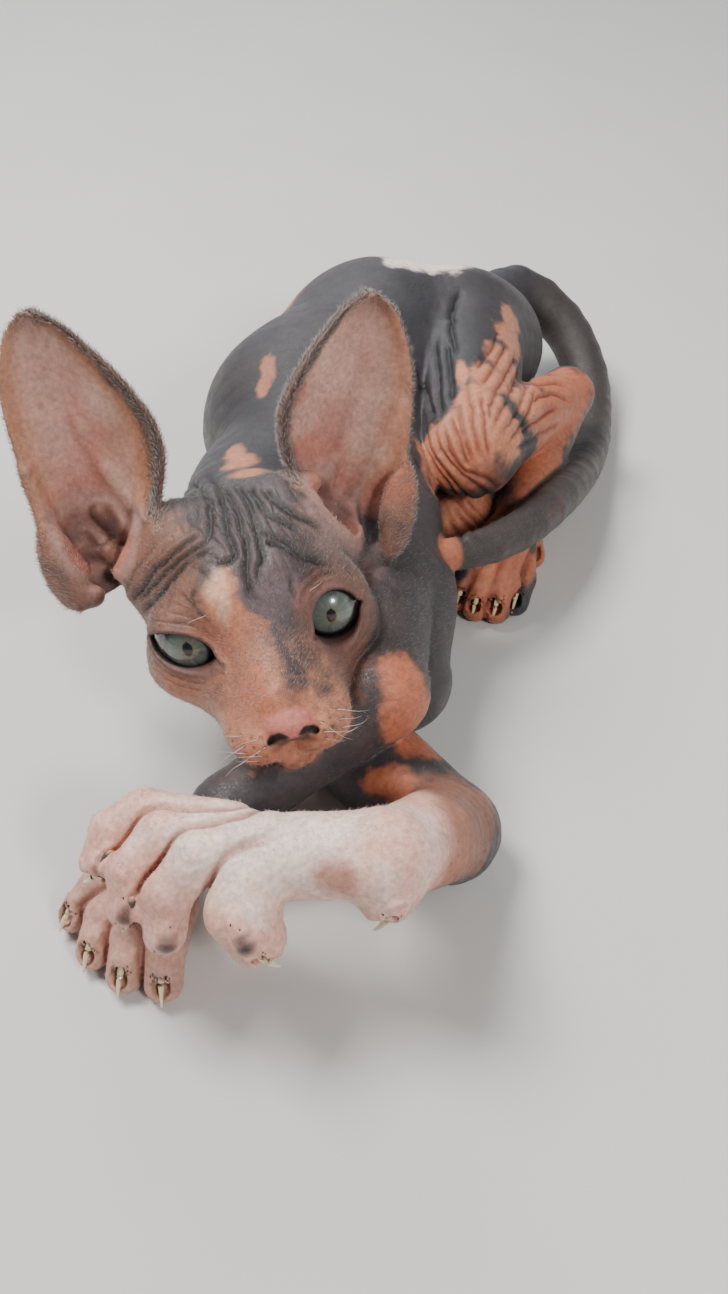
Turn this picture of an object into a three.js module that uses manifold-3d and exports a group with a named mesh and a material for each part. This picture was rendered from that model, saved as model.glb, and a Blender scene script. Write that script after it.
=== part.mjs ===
// Hairless kitten lying curled on its right side, head raised, forepaws crossed before the chin.
// Millimetres, +Z up, the floor at z = 0, the head towards -Y and the back towards -X.
// Every part is a skin of rings: from points of a bone line, rays run out until a field
// of rounded cones and ellipsoids ends. Neighbours are parted by thin cuts.

import * as THREE from 'three';
import Module from 'manifold-3d';

const wasm = await Module();
wasm.setup();

// Driving sizes

const GAP = 0.3;
const SLACK = 0.05;
const STAND = [-3.22, -233.32, 0];

const HEAD_AT = [-21.5, 168.5, 54];
const HEAD_YAW = 12.5;
const HEAD_PITCH = 20;
const HEAD_ROLL = 6.5;

const EYE_AT = [14.8, -9.3, -1.6];
const EYE_RADIUS = 8.7;
const LID = 1.4;
// Opening between the lids, of the left eye and the squinting right one: its middle beside
// and above the eyeball's, its half width and height, and its tilt in degrees.
const EYE_OPEN = [
  { beside: 0.5, above: -1.1, wide: 6.1, high: 6.3, tilt: 8 },
  { beside: 1.7, above: 0.3, wide: 7.4, high: 4.6, tilt: 16 },
];

const EAR_THICK = 1.5;
const EAR_CUP = 8;

const TRUNK_FLAT = 1.06;
const TRUNK_LINE = [
  [8, 186, 17, 14],
  [3, 210, 22, 19],
  [-9, 238, 26.5, 28],
  [-13, 276, 29, 32],
  [5, 312, 29.2, 31],
  [34, 326, 26, 24.5],
];
const NECK_LINE = [
  [-25, 196, 45, 20],
  [-27, 212, 43, 18],
  [-24, 228, 38, 20],
  [-12, 244, 32, 23],
];
const TAIL_LINE = [
  [37, 336, 30, 11],
  [52, 355, 30, 9],
  [68, 351, 21, 8],
  [76, 334, 11, 7.5],
  [75, 311, 6.4, 7],
  [69, 286, 10, 6.5],
  [56, 254, 21, 6],
  [41, 231.5, 26.5, 5.5],
  [27, 220, 30, 4.8],
  [17, 216, 32, 4],
  [11, 217, 33, 3.2],
];

// The left limbs lie on top, the right ones on the floor.
const LEFT_ARM = {
  shoulder: [4, 226, 33, 15],
  elbow: [4, 169, 32, 10.5],
  wrist: [-30, 146, 19, 8],
  palm: [-44, 134, 8.8, 8],
};
const RIGHT_ARM = {
  shoulder: [-14, 183, 12.8, 13],
  elbow: [19, 146, 11, 11.5],
  wrist: [4.5, 120, 40, 9],
  palm: [-24, 123.5, 35.5, 8.5],
};
const LEFT_LEG = {
  hip: [31, 318, 36, 20],
  knee: [29, 251, 40, 13],
  hock: [62, 294, 29, 8],
  foot: [41, 242, 14, 7],
};
const RIGHT_LEG = {
  hip: [31, 316, 17, 17],
  knee: [25, 256, 11.6, 12],
  hock: [55, 303, 7.7, 8],
  foot: [40, 262, 6.2, 6.5],
};

// Small tools for points and fields

const v3 = (a) => new THREE.Vector3(a[0], a[1], a[2]);
const rad = THREE.MathUtils.degToRad;
const clamp = THREE.MathUtils.clamp;

function blend(a, b, k) {
  const h = Math.max(k - Math.abs(a - b), 0) / k;
  return Math.min(a, b) - (h * h * k) / 4;
}

function coneField(p, a, b) {
  const bx = b[0] - a[0];
  const by = b[1] - a[1];
  const bz = b[2] - a[2];
  const px = p.x - a[0];
  const py = p.y - a[1];
  const pz = p.z - a[2];
  const t = clamp((px * bx + py * by + pz * bz) / (bx * bx + by * by + bz * bz), 0, 1);
  return Math.hypot(px - t * bx, py - t * by, pz - t * bz) - (a[3] + t * (b[3] - a[3]));
}

function eggField(p, c, r) {
  const x = (p.x - c[0]) / r[0];
  const y = (p.y - c[1]) / r[1];
  const z = (p.z - c[2]) / r[2];
  const k0 = Math.hypot(x, y, z);
  const k1 = Math.hypot(x / r[0], y / r[1], z / r[2]);
  return k1 < 1e-6 ? -Math.min(...r) : (k0 * (k0 - 1)) / k1;
}

function chainField(line, k = 4) {
  return (p) => {
    let d = 1e9;
    for (let i = 0; i + 1 < line.length; i += 1) {
      d = blend(d, coneField(p, line[i], line[i + 1]), k);
    }
    return d;
  };
}

// Rings about a bone line

// A station is a point and the direction of the line there, where a ring lies across.
function curveStations(line, from, to, count) {
  const curve = new THREE.CatmullRomCurve3(line.map(v3));
  const stations = [];
  for (let i = 0; i <= count; i += 1) {
    const u = from + ((to - from) * i) / count;
    stations.push({ c: curve.getPointAt(u), t: curve.getTangentAt(u) });
  }
  return stations;
}

// A straight bone from a to b whose end rings lie in given planes, turning to square in between.
function boneStations(a, b, startNormal, endNormal, count, from = 0, to = 1) {
  const pa = v3(a);
  const pb = v3(b);
  const axis = pb.clone().sub(pa).normalize();
  const n0 = (startNormal || axis).clone().normalize();
  const n1 = (endNormal || axis).clone().normalize();
  const stations = [];
  for (let i = 0; i <= count; i += 1) {
    const u = from + ((to - from) * i) / count;
    const t = axis.clone();
    t.addScaledVector(n0.clone().sub(axis), clamp(1 - 2.2 * u, 0, 1));
    t.addScaledVector(n1.clone().sub(axis), clamp(2.2 * u - 1.2, 0, 1));
    stations.push({ c: pa.clone().lerp(pb, u), t: t.normalize() });
  }
  return stations;
}

// The plane that halves the bend of a joint.
function mitre(a, joint, b) {
  const inward = v3(joint).sub(v3(a)).normalize();
  const onward = v3(b).sub(v3(joint)).normalize();
  return inward.add(onward).normalize();
}

function skinPoint(field, c, d, level) {
  const p = new THREE.Vector3();
  let lo = 0;
  let hi = 0;
  let value = field(c) - level;
  for (let i = 0; i < 120 && value < 0; i += 1) {
    lo = hi;
    hi += Math.max(0.3, -0.6 * value);
    value = field(p.copy(c).addScaledVector(d, hi)) - level;
  }
  for (let i = 0; i < 16; i += 1) {
    const mid = (lo + hi) / 2;
    if (field(p.copy(c).addScaledVector(d, mid)) - level < 0) lo = mid;
    else hi = mid;
  }
  return p.copy(c).addScaledVector(d, (lo + hi) / 2).clone();
}

// A closed skin over the stations. Ends are flat, or domes of some rings.
// `inset` pulls flat ends back and `grow` moves the whole skin out.
function ringSkin({ stations, field, around, startDome = 0, endDome = 0, inset = 0, grow = 0, up }) {
  const side = v3(up || [0, 0, 1]);
  const rows = [];
  const first = stations[0];
  const last = stations[stations.length - 1];
  const shift = grow > 0 ? grow - inset - SLACK : -inset;
  if (!startDome) first.c = first.c.clone().addScaledVector(first.t, -shift);
  if (!endDome) last.c = last.c.clone().addScaledVector(last.t, shift);
  const frames = stations.map((s) => {
    side.addScaledVector(s.t, -side.dot(s.t)).normalize();
    return { c: s.c, t: s.t, n: side.clone(), b: s.t.clone().cross(side) };
  });
  const row = (frame, tilt) => {
    const ring = [];
    for (let j = 0; j < around; j += 1) {
      const a = (2 * Math.PI * j) / around;
      const d = frame.n.clone().multiplyScalar(Math.cos(a)).addScaledVector(frame.b, Math.sin(a));
      d.multiplyScalar(Math.cos(tilt)).addScaledVector(frame.t, Math.sin(tilt));
      ring.push(skinPoint(field, frame.c, d, grow));
    }
    return ring;
  };
  const end = frames[frames.length - 1];
  const quarter = Math.PI / 2;
  for (let i = startDome; i > 0; i -= 1) rows.push(row(frames[0], -quarter * (i / (startDome + 1))));
  for (const frame of frames) rows.push(row(frame, 0));
  for (let i = 1; i <= endDome; i += 1) rows.push(row(end, quarter * (i / (endDome + 1))));
  const back = frames[0].t.clone().negate();
  const startPole = startDome ? skinPoint(field, frames[0].c, back, grow) : frames[0].c;
  const endPole = endDome ? skinPoint(field, end.c, end.t, grow) : end.c;
  return closedRows(rows, startPole, endPole);
}

// Joins rings of equal count into one closed geometry with a pole at each end.
function closedRows(rows, startPole, endPole) {
  const around = rows[0].length;
  const vertices = rows.flat().flatMap((p) => [p.x, p.y, p.z]);
  const poleA = vertices.length / 3;
  vertices.push(startPole.x, startPole.y, startPole.z, endPole.x, endPole.y, endPole.z);
  const faces = [];
  for (let i = 0; i + 1 < rows.length; i += 1) {
    for (let j = 0; j < around; j += 1) {
      const a = i * around + j;
      const b = i * around + ((j + 1) % around);
      faces.push(a, b, a + around, b, b + around, a + around);
    }
  }
  const lastRow = (rows.length - 1) * around;
  for (let j = 0; j < around; j += 1) {
    const k = (j + 1) % around;
    faces.push(poleA, k, j, poleA + 1, lastRow + j, lastRow + k);
  }
  return { vertices, faces };
}

// Joins flat rings, each a front run and a back run of equal length, without poles.
function closedLeaf(rows) {
  const around = rows[0].length;
  const { vertices, faces } = closedRows(rows, rows[0][0], rows[0][0]);
  vertices.length -= 6;
  faces.length -= 6 * around;
  const lastRow = (rows.length - 1) * around;
  for (let k = 0; k + 1 < around / 2; k += 1) {
    const [f0, f1, b1, b0] = [k, k + 1, around - k - 2, around - k - 1];
    faces.push(f0, b0, b1, f0, b1, f1);
    faces.push(lastRow + f0, lastRow + b1, lastRow + b0, lastRow + f0, lastRow + f1, lastRow + b1);
  }
  return { vertices, faces };
}

function volumeOf({ vertices, faces }) {
  let sum = 0;
  const p = (i) => new THREE.Vector3().fromArray(vertices, 3 * i);
  for (let i = 0; i < faces.length; i += 3) {
    sum += p(faces[i]).dot(p(faces[i + 1]).cross(p(faces[i + 2])));
  }
  return sum / 6;
}

// Solids: joining, cutting and keeping the largest body

function solid(shape) {
  const { vertices, faces } = shape;
  if (volumeOf(shape) < 0) faces.reverse();
  const mesh = new wasm.Mesh({
    numProp: 3,
    vertProperties: new Float32Array(vertices),
    triVerts: new Uint32Array(faces),
  });
  return new wasm.Manifold(mesh);
}

// Points closer than the grain become one, and faces that this folds flat are left out.
function weld(points, corners, grain) {
  const seen = new Map();
  const vertices = [];
  const map = [];
  for (let i = 0; i < points.length; i += 3) {
    const p = [points[i], points[i + 1], points[i + 2]].map((x) => Math.round(x / grain) * grain);
    const key = p.map((x) => Math.round(x / grain)).join(' ');
    if (!seen.has(key)) {
      seen.set(key, vertices.length / 3);
      vertices.push(...p);
    }
    map.push(seen.get(key));
  }
  const kept = new Map();
  for (let i = 0; i < corners.length; i += 3) {
    const face = [map[corners[i]], map[corners[i + 1]], map[corners[i + 2]]];
    if (new Set(face).size < 3) continue;
    const key = [...face].sort((x, y) => x - y).join(' ');
    if (kept.has(key)) kept.delete(key);
    else kept.set(key, face);
  }
  return { vertices, faces: [...kept.values()].flat() };
}

function fromGeometry(geometry) {
  const position = geometry.attributes.position;
  const index = geometry.index ? geometry.index.array : [...Array(position.count).keys()];
  return solid(weld(position.array, index, 1e-4));
}

function boxSolid(size, centre) {
  const box = new THREE.BoxGeometry(...size);
  box.translate(...centre);
  return fromGeometry(box);
}

function ballSolid(radius, centre, wide = 24, high = 16, squash = [1, 1, 1]) {
  const ball = new THREE.SphereGeometry(radius, wide, high);
  ball.scale(...squash);
  ball.translate(...centre);
  return fromGeometry(ball);
}

function largest(body) {
  const pieces = body.decompose();
  return pieces.reduce((a, b) => (b.volume() > a.volume() ? b : a));
}

const below = boxSolid([600, 600, 60], [0, 232, -30]);

const group = new THREE.Group();
group.position.set(...STAND);

function addNode(name, body, look) {
  const mesh = largest(body).getMesh();
  const { vertices, faces } = weld(mesh.vertProperties, mesh.triVerts, 1e-3);
  const geometry = new THREE.BufferGeometry();
  geometry.setAttribute('position', new THREE.BufferAttribute(new Float32Array(vertices), 3));
  geometry.setIndex(new THREE.BufferAttribute(new Uint32Array(faces), 1));
  const node = new THREE.Mesh(geometry, new THREE.MeshStandardMaterial({ metalness: 0, ...look }));
  node.name = name;
  group.add(node);
}

const skinGrey = { color: 0x6b6468, roughness: 0.62 };
const skinPeach = { color: 0xc98a6c, roughness: 0.6 };
const skinPink = { color: 0xe2b5a4, roughness: 0.6 };
const eyeGlass = { color: 0x8fa39a, roughness: 0.08 };
const horn = { color: 0xcfc49a, roughness: 0.4 };

// Trunk

const trunkChain = chainField(TRUNK_LINE, 10);
const squeezed = new THREE.Vector3();
const trunkField = (p) => trunkChain(squeezed.set(p.x, p.y, 30 + (p.z - 30) * TRUNK_FLAT));

function trunkSkin(grow) {
  return solid(ringSkin({
    stations: curveStations(TRUNK_LINE, 0, 1, 12),
    field: trunkField,
    around: 24,
    startDome: 2,
    endDome: 4,
    grow,
  }));
}

// Head, in its own frame: x to the animal's right, y forward, z up, the middle of the eyes at zero

const headTurn = new THREE.Matrix4();
{
  const yaw = rad(HEAD_YAW);
  const pitch = rad(HEAD_PITCH);
  const roll = rad(HEAD_ROLL);
  const level = new THREE.Vector3(Math.sin(yaw), -Math.cos(yaw), 0);
  const left = new THREE.Vector3(Math.cos(yaw), Math.sin(yaw), 0);
  const forward = level.clone().multiplyScalar(Math.cos(pitch)).add(v3([0, 0, Math.sin(pitch)]));
  const top = level.clone().multiplyScalar(-Math.sin(pitch)).add(v3([0, 0, Math.cos(pitch)]));
  const leftUp = left.clone().multiplyScalar(Math.cos(roll)).addScaledVector(top, Math.sin(roll));
  const topUp = top.clone().multiplyScalar(Math.cos(roll)).addScaledVector(left, -Math.sin(roll));
  headTurn.makeBasis(leftUp.negate(), forward, topUp).setPosition(...HEAD_AT);
}
const headBack = headTurn.clone().invert();
const onHead = (a) => v3(a).applyMatrix4(headTurn);

const headPoint = new THREE.Vector3();
function headField(p) {
  const q = headPoint.copy(p).applyMatrix4(headBack);
  q.x = Math.abs(q.x);
  let d = eggField(q, [0, -25, 1.5], [24, 26, 22]);
  d = blend(d, eggField(q, [0, -8, 6], [15, 13, 11]), 8);
  d = blend(d, eggField(q, [16.5, -14, -9], [10.5, 14, 9.5]), 7);
  d = blend(d, coneField(q, [0, -6, 1, 9], [0, 16.5, -9.5, 6]), 6);
  d = blend(d, eggField(q, [5.8, 14.5, -16.5], [7.2, 9, 6.3]), 4);
  d = blend(d, eggField(q, [0, 21.5, -12.5], [4.7, 3.8, 3.6]), 2);
  d = blend(d, coneField(q, [0, -18, -17, 11], [0, 12.5, -23.2, 5.2]), 4);
  d = blend(d, coneField(q, [14, -22, -12, 9], [6, 5, -18.5, 6.5]), 5);
  d = blend(d, coneField(q, [0, -26, -2, 21], [0, -46, -11, 18]), 6);
  d = blend(d, coneField(q, [13, -25, 4, 12], [21, -27, 6, 7.5]), 6);
  d = blend(d, eggField(q, [12, -24, 11], [10.5, 12, 12]), 6);
  d = blend(d, coneField(q, [9.5, -6, -9, 9], [5.5, 10, -13.5, 7]), 6);
  const lids = Math.hypot(q.x - EYE_AT[0], q.y - EYE_AT[1], q.z - EYE_AT[2]) - EYE_RADIUS - LID;
  return blend(d, lids, 2.5);
}

function headStations() {
  const stations = [];
  const rings = [12, 9.5, 7, 4.5, 2, -0.5, -3, -5.5, -8, -11, -15, -20, -25, -30, -35.5, -41];
  for (const y of rings) {
    const sink = 6 + 0.34 * Math.max(0, y) + 0.06 * Math.max(0, -y);
    stations.push({ c: onHead([0, y, -sink]), t: onHead([0, -1, 0]).sub(onHead([0, 0, 0])) });
  }
  return stations;
}

function headSkin(grow) {
  return solid(ringSkin({
    stations: headStations(),
    field: headField,
    around: 40,
    startDome: 11,
    inset: GAP / 2,
    grow,
    up: [0, 0, 1],
  }));
}

// Eyes and the opening between the lids

function eyeSolid(side, grow) {
  return ballSolid(EYE_RADIUS + grow, onHead([side * EYE_AT[0], EYE_AT[1], EYE_AT[2]]).toArray(), 18, 12);
}

// The opening is a lens between two arcs, pushed straight out along the gaze.
function lidOpening(side, { beside, above, wide, high, tilt }) {
  const shape = new THREE.Shape();
  shape.moveTo(-wide, 0);
  shape.bezierCurveTo(-wide * 0.55, high * 1.35, wide * 0.55, high * 1.35, wide, 0);
  shape.bezierCurveTo(wide * 0.55, -high * 1.3, -wide * 0.55, -high * 1.3, -wide, 0);
  const lens = new THREE.ExtrudeGeometry(shape, { depth: 16, bevelEnabled: false, curveSegments: 9 });
  lens.rotateX(-Math.PI / 2);
  lens.rotateY(side * rad(-tilt));
  lens.rotateZ(side * rad(-10));
  lens.translate(side * (EYE_AT[0] + beside), EYE_AT[1] + 1, EYE_AT[2] + above);
  lens.applyMatrix4(headTurn);
  return fromGeometry(lens);
}

// Nostrils and the line of the mouth, cut as fine grooves

function groove(points, radius, steps) {
  const path = new THREE.CatmullRomCurve3(points.map(v3));
  const shape = new THREE.Shape();
  shape.absarc(0, 0, radius, 0, 2 * Math.PI, false);
  const tube = new THREE.ExtrudeGeometry(shape, { steps, extrudePath: path, curveSegments: 4 });
  tube.applyMatrix4(headTurn);
  return fromGeometry(tube);
}

function carvedHead() {
  let head = headSkin(0);
  [-1, 1].forEach((side, i) => {
    head = head.subtract(eyeSolid(side, GAP));
    head = head.subtract(lidOpening(side, EYE_OPEN[i]));
    head = head.subtract(groove([
      [0, 25.4, -15],
      [side * 0.3, 25.4, -17.4],
      [side * 2.2, 24.2, -19.2],
      [side * 5.5, 21.6, -20.8],
      [side * 9, 17, -21.2],
      [side * 12.2, 10.5, -20],
      [side * 14, 4.5, -18],
    ], 0.5, 12));
    head = head.subtract(groove([
      [side * 1.8, 24.9, -13.6],
      [side * 3, 24.3, -13.3],
      [side * 4.3, 23.2, -14],
      [side * 5.2, 21.8, -15.2],
    ], 0.8, 4));
  });
  return head;
}

// Ears: cupped leaves with a folded pocket at the outer root

// The edges of the leaf from root to tip: share of the ear's height, then distance from its middle.
const EAR_INNER = [
  [-0.15, -9],
  [0.12, -12.5],
  [0.28, -17],
  [0.42, -18.5],
  [0.62, -15.5],
  [0.8, -10.5],
  [0.94, -5],
  [1, -1],
];
const EAR_OUTER = [
  [-0.2, 12],
  [0.05, 14],
  [0.3, 14],
  [0.5, 13.5],
  [0.7, 12],
  [0.86, 8.5],
  [0.96, 4.5],
  [1, 1],
];

function edgeCurve(points) {
  return new THREE.CatmullRomCurve3(points.map(([a, s]) => new THREE.Vector3(a, s, 0)));
}

// root: middle of the ear's foot; tip: its top; face: where the cup opens
function earFrame(side, root, tip, face) {
  const along = v3(tip).sub(v3(root)).normalize();
  const open = v3(face).addScaledVector(along, -v3(face).dot(along)).normalize();
  const across = open.clone().cross(along).multiplyScalar(side);
  return (a, s, n) => onHead(
    v3(root).addScaledVector(along, a).addScaledVector(across, s).addScaledVector(open, n).toArray(),
  );
}

function earSkin(side, root, tip, face, grow) {
  const place = earFrame(side, root, tip, face);
  const height = v3(tip).distanceTo(v3(root));
  const inner = edgeCurve(EAR_INNER);
  const outer = edgeCurve(EAR_OUTER);
  const across = 7;
  const rows = [];
  const tall = 11;
  for (let i = 0; i <= tall; i += 1) {
    const u = i / tall;
    const a = inner.getPoint(u);
    const b = outer.getPoint(u);
    const cup = EAR_CUP * (1.15 - 0.75 * u);
    const ring = [];
    for (let j = 0; j < 2 * across + 2; j += 1) {
      const front = j <= across;
      const k = front ? j : 2 * across + 1 - j;
      const w = k / across;
      const x = THREE.MathUtils.lerp(a.x, b.x, w) * height;
      const s = THREE.MathUtils.lerp(a.y, b.y, w);
      const bow = 1 - (2 * w - 1) ** 2;
      const half = (EAR_THICK / 2) * (0.5 + 0.5 * bow) + grow;
      const out = k === 0 ? -grow : k === across ? grow : 0;
      ring.push(place(x, s + out, -cup * bow + (front ? half : -half)));
    }
    rows.push(ring);
  }
  return { leaf: closedLeaf(rows), place };
}

function pocketSolid(place, grow) {
  const line = [[-12, 8, -2, 3], [-5, 13, -1, 3.8], [5, 15, -0.6, 3.4], [12, 14, -1.5, 2]];
  const points = line.map(([a, s, n, r]) => [...place(a, s, n).toArray(), r]);
  return solid(ringSkin({
    stations: curveStations(points, 0, 1, 5),
    field: chainField(points, 3),
    around: 8,
    startDome: 2,
    endDome: 2,
    grow,
  }));
}

const EAR_SETS = {
  ear_left: { side: -1, root: [-24.5, -25, 10], tip: [-42, -32, 56], face: [-0.3, 0.92, 0.2] },
  ear_right: { side: 1, root: [27, -25, 15.5], tip: [31, -31, 68.5], face: [0.25, 0.94, 0.2] },
};

function earSolid({ side, root, tip, face }, grow) {
  const { leaf, place } = earSkin(side, root, tip, face, grow);
  return solid(leaf).add(pocketSolid(place, grow));
}

// Neck

const neckChain = chainField(NECK_LINE, 8);
const neckField = (p) => blend(neckChain(p), headField(p) + 3, 8);

function neckSkin(grow) {
  const cut = headStations().at(-1);
  const stations = curveStations(NECK_LINE, 0.35, 1, 6);
  stations[0] = { c: cut.c.clone(), t: cut.t.clone() };
  stations[1].t.add(cut.t).normalize();
  return solid(ringSkin({ stations, field: neckField, around: 22, inset: GAP / 2, grow }));
}

// Limbs: upper bone, lower bone and paw, parted at the joints

function limbBone({ a, b, before, after, field, around, rings, startDome = 0, endDome = 0 }) {
  return (grow) => solid(ringSkin({
    stations: boneStations(a, b, before, after, rings),
    field,
    around,
    startDome,
    endDome,
    inset: GAP / 2,
    grow,
  }));
}

function rayField(pieces, k = 2) {
  return (p) => pieces.reduce((d, piece) => blend(d, piece(p), k), 1e9);
}

// A digit or a claw: a short line with its own radii, round at both ends.
function fingerSolid(line, grow = 0) {
  return solid(ringSkin({
    stations: curveStations(line, 0, 1, 3),
    field: chainField(line, 1.5),
    around: 8,
    startDome: 1,
    endDome: 2,
    grow,
  }));
}

// A claw leaves the top of the last joint and hooks over towards the sole.
function clawSolid(line, top, grow) {
  const [before, tip] = line.slice(-2).map(v3);
  const up = v3(top).normalize();
  const forward = tip.clone().sub(before).normalize();
  forward.addScaledVector(up, -0.7 * forward.dot(up)).normalize();
  const rise = up.addScaledVector(forward, -up.dot(forward)).normalize();
  const reach = line.at(-1)[3];
  const hook = [0, 0.35, 0.7, 1].map((u) => {
    const p = tip.clone().addScaledVector(forward, reach * (-0.2 + 1.7 * u));
    p.addScaledVector(rise, reach * (0.62 - 0.75 * u * u));
    return [p.x, p.y, p.z, 1.35 - 1.05 * u];
  });
  return solid(ringSkin({
    stations: curveStations(hook, 0, 1, 3),
    field: chainField(hook, 0.5),
    around: 6,
    startDome: 1,
    endDome: 1,
    grow,
  }));
}

// A foreleg bends little enough for its bones to share one skin, parted at the joints.
function arm({ shoulder, elbow, wrist, palm }) {
  const field = rayField([
    (p) => coneField(p, shoulder, elbow),
    (p) => coneField(p, elbow, wrist),
    (p) => coneField(p, wrist, palm),
  ], 3);
  const bend = mitre(shoulder, elbow, wrist);
  const turn = mitre(elbow, wrist, palm);
  return {
    upper: limbBone({ a: shoulder, b: elbow, after: bend, field, around: 16, rings: 5, startDome: 2 }),
    lower: limbBone({ a: elbow, b: wrist, before: bend, after: turn, field, around: 14, rings: 5 }),
    palm: limbBone({ a: wrist, b: palm, before: turn, field, around: 12, rings: 3, endDome: 2 }),
  };
}

const rightArm = arm(RIGHT_ARM);
const leftArm = arm(LEFT_ARM);

const RIGHT_DIGITS = [
  [[-14, 122, 37, 6.5], [-22, 117, 36, 7.2], [-23, 112, 33.5, 7.4], [-20.5, 108.5, 30.5, 6.2]],
  [[-20, 124, 38, 6], [-32, 121, 38.5, 5.4], [-38, 115.5, 33.5, 5], [-39, 112, 25.5, 4.6]],
  [[-24, 127, 37, 5.5], [-40, 127, 37.5, 5], [-46, 121, 33, 4.6], [-47, 116.5, 27, 4.1]],
  [[-26, 130, 36, 5], [-44, 133, 37, 4.6], [-51, 130.5, 33.5, 4.4], [-54, 126, 29, 3.9]],
  [[6, 119, 40, 6], [4.6, 117, 36.5, 6.8], [4.2, 115, 34.5, 6]],
];
const LEFT_DIGITS = [
  [[-50, 136, 9, 4.6], [-59, 133, 7.4, 4.4], [-63.5, 128.5, 3.8, 4]],
  [[-48, 131, 10, 5], [-55.5, 126, 8.4, 4.6], [-58, 120, 3.9, 4.2]],
  [[-44, 128, 10.5, 5], [-49, 121, 9, 4.7], [-50.5, 114.5, 4, 4.3]],
  [[-40, 127, 10, 5], [-42, 119, 8.6, 4.8], [-42, 112.5, 4.1, 4.4]],
  [[-38, 145, 13, 4], [-42, 145.5, 8, 3.6], [-46, 145, 5.2, 3.2]],
];

function pawSolid(palm, digits) {
  return (grow) => digits.reduce((body, line) => body.add(fingerSolid(line, grow)), palm(grow));
}

// Hind legs: the thigh, the shin and the long foot with four toes

// A hind leg is folded tight, so each bone has its own skin and is cut by the one above it.
function leg({ hip, knee, hock, foot }) {
  const bone = (a, b, around, rings) => limbBone({
    a,
    b,
    field: (p) => coneField(p, a, b),
    around,
    rings,
    startDome: 2,
    endDome: 3,
  });
  return {
    upper: bone(hip, knee, 18, 5),
    lower: bone(knee, hock, 12, 4),
    palm: bone(hock, foot, 10, 4),
  };
}

const leftLeg = leg(LEFT_LEG);
const rightLeg = leg(RIGHT_LEG);

const LEFT_TOES = [
  [[38, 245, 15, 4.8], [31, 235, 11, 4.4], [27.5, 230, 4, 4.2]],
  [[40, 243, 14.5, 5], [34.5, 232, 10, 4.6], [31.5, 226, 4.2, 4.4]],
  [[43, 242, 13.5, 5], [39.5, 231, 9, 4.6], [37, 225, 4.2, 4.4]],
  [[45, 244, 12, 4.6], [44.5, 234, 7.5, 4.3], [42.5, 228, 4, 4.2]],
];
const RIGHT_TOES = [
  [[37, 261, 7.5, 4.6], [33, 250, 6, 4.3], [31, 244, 3.8, 4]],
  [[39, 259, 7.5, 4.8], [38, 247, 6, 4.4], [37, 241, 3.9, 4.1]],
  [[41, 260, 7.5, 4.8], [43.5, 249, 6, 4.4], [43.5, 243, 3.9, 4.1]],
  [[43, 262, 6.8, 4.4], [48.5, 253, 5.8, 4.2], [49.5, 248, 3.7, 3.9]],
];

// Tail, in three lengths

const tailField = chainField(TAIL_LINE, 3);

function tailSkin(from, to, rings, endDome = 0) {
  return (grow) => solid(ringSkin({
    stations: curveStations(TAIL_LINE, from, to, rings),
    field: tailField,
    around: 10,
    inset: GAP / 2,
    endDome,
    grow,
  }));
}

// Claws, one to a digit

const CLAW_SETS = [
  ['claw_foreleg_left', LEFT_DIGITS, [0, 0, 1]],
  ['claw_foreleg_right', RIGHT_DIGITS, [0.2, -1, 0.2]],
  ['claw_hindleg_left', LEFT_TOES, [0, 0, 1]],
  ['claw_hindleg_right', RIGHT_TOES, [0, 0, 1]],
];

// Putting the parts together: each part is cut by those before it, grown by the gap, and by the floor

const placed = [];

function place(name, make, look) {
  let body = make(0).subtract(below);
  for (const other of placed) body = body.subtract(other);
  placed.push(make(GAP));
  addNode(name, body, look);
}

addNode('eye_left', eyeSolid(-1, 0), eyeGlass);
addNode('eye_right', eyeSolid(1, 0), eyeGlass);
place('head', (grow) => (grow ? headSkin(grow) : carvedHead()), skinPeach);
place('torso', trunkSkin, skinGrey);
place('neck', neckSkin, skinGrey);
place('foreleg_left_upper', leftArm.upper, skinGrey);
place('ear_left', (grow) => earSolid(EAR_SETS.ear_left, grow), skinPink);
place('ear_right', (grow) => earSolid(EAR_SETS.ear_right, grow), skinPink);
place('foreleg_left_forearm', leftArm.lower, skinGrey);
place('foreleg_left_paw', pawSolid(leftArm.palm, LEFT_DIGITS), skinPink);
place('foreleg_right_upper', rightArm.upper, skinGrey);
place('foreleg_right_forearm', rightArm.lower, skinPeach);
place('foreleg_right_paw', pawSolid(rightArm.palm, RIGHT_DIGITS), skinPink);

place('hindleg_left_thigh', leftLeg.upper, skinGrey);
place('hindleg_left_shin', leftLeg.lower, skinPeach);
place('hindleg_left_foot', pawSolid(leftLeg.palm, LEFT_TOES), skinPeach);
place('hindleg_right_thigh', rightLeg.upper, skinGrey);
place('hindleg_right_shin', rightLeg.lower, skinPeach);
place('hindleg_right_foot', pawSolid(rightLeg.palm, RIGHT_TOES), skinPeach);

place('tail_base', tailSkin(0, 0.3, 7), skinGrey);
place('tail_middle', tailSkin(0.3, 0.66, 10), skinGrey);
place('tail_tip', tailSkin(0.66, 1, 8, 2), skinPeach);

for (const [name, digits, top] of CLAW_SETS) {
  digits.forEach((line, i) => place(`${name}_${i + 1}`, (grow) => clawSolid(line, top, grow), horn));
}

export default group;
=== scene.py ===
"""A sphynx kitten lying curled with its head raised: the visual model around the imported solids.

The skin is one surface, drawn from rounded cones and ellipsoids that melt into each other, on a
grid that is finest at the head. It starts a little inside the solids and passes them where parts
melt together. Folds are pressed into it along curves, and its colours are painted from soft
patches. Lengths are in millimetres in the photo's own frame (the camera above the origin), and
turn into metres in the row's frame when a mesh is made. Side -1 is the animal's left, 1 its right.
"""

import math

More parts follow.
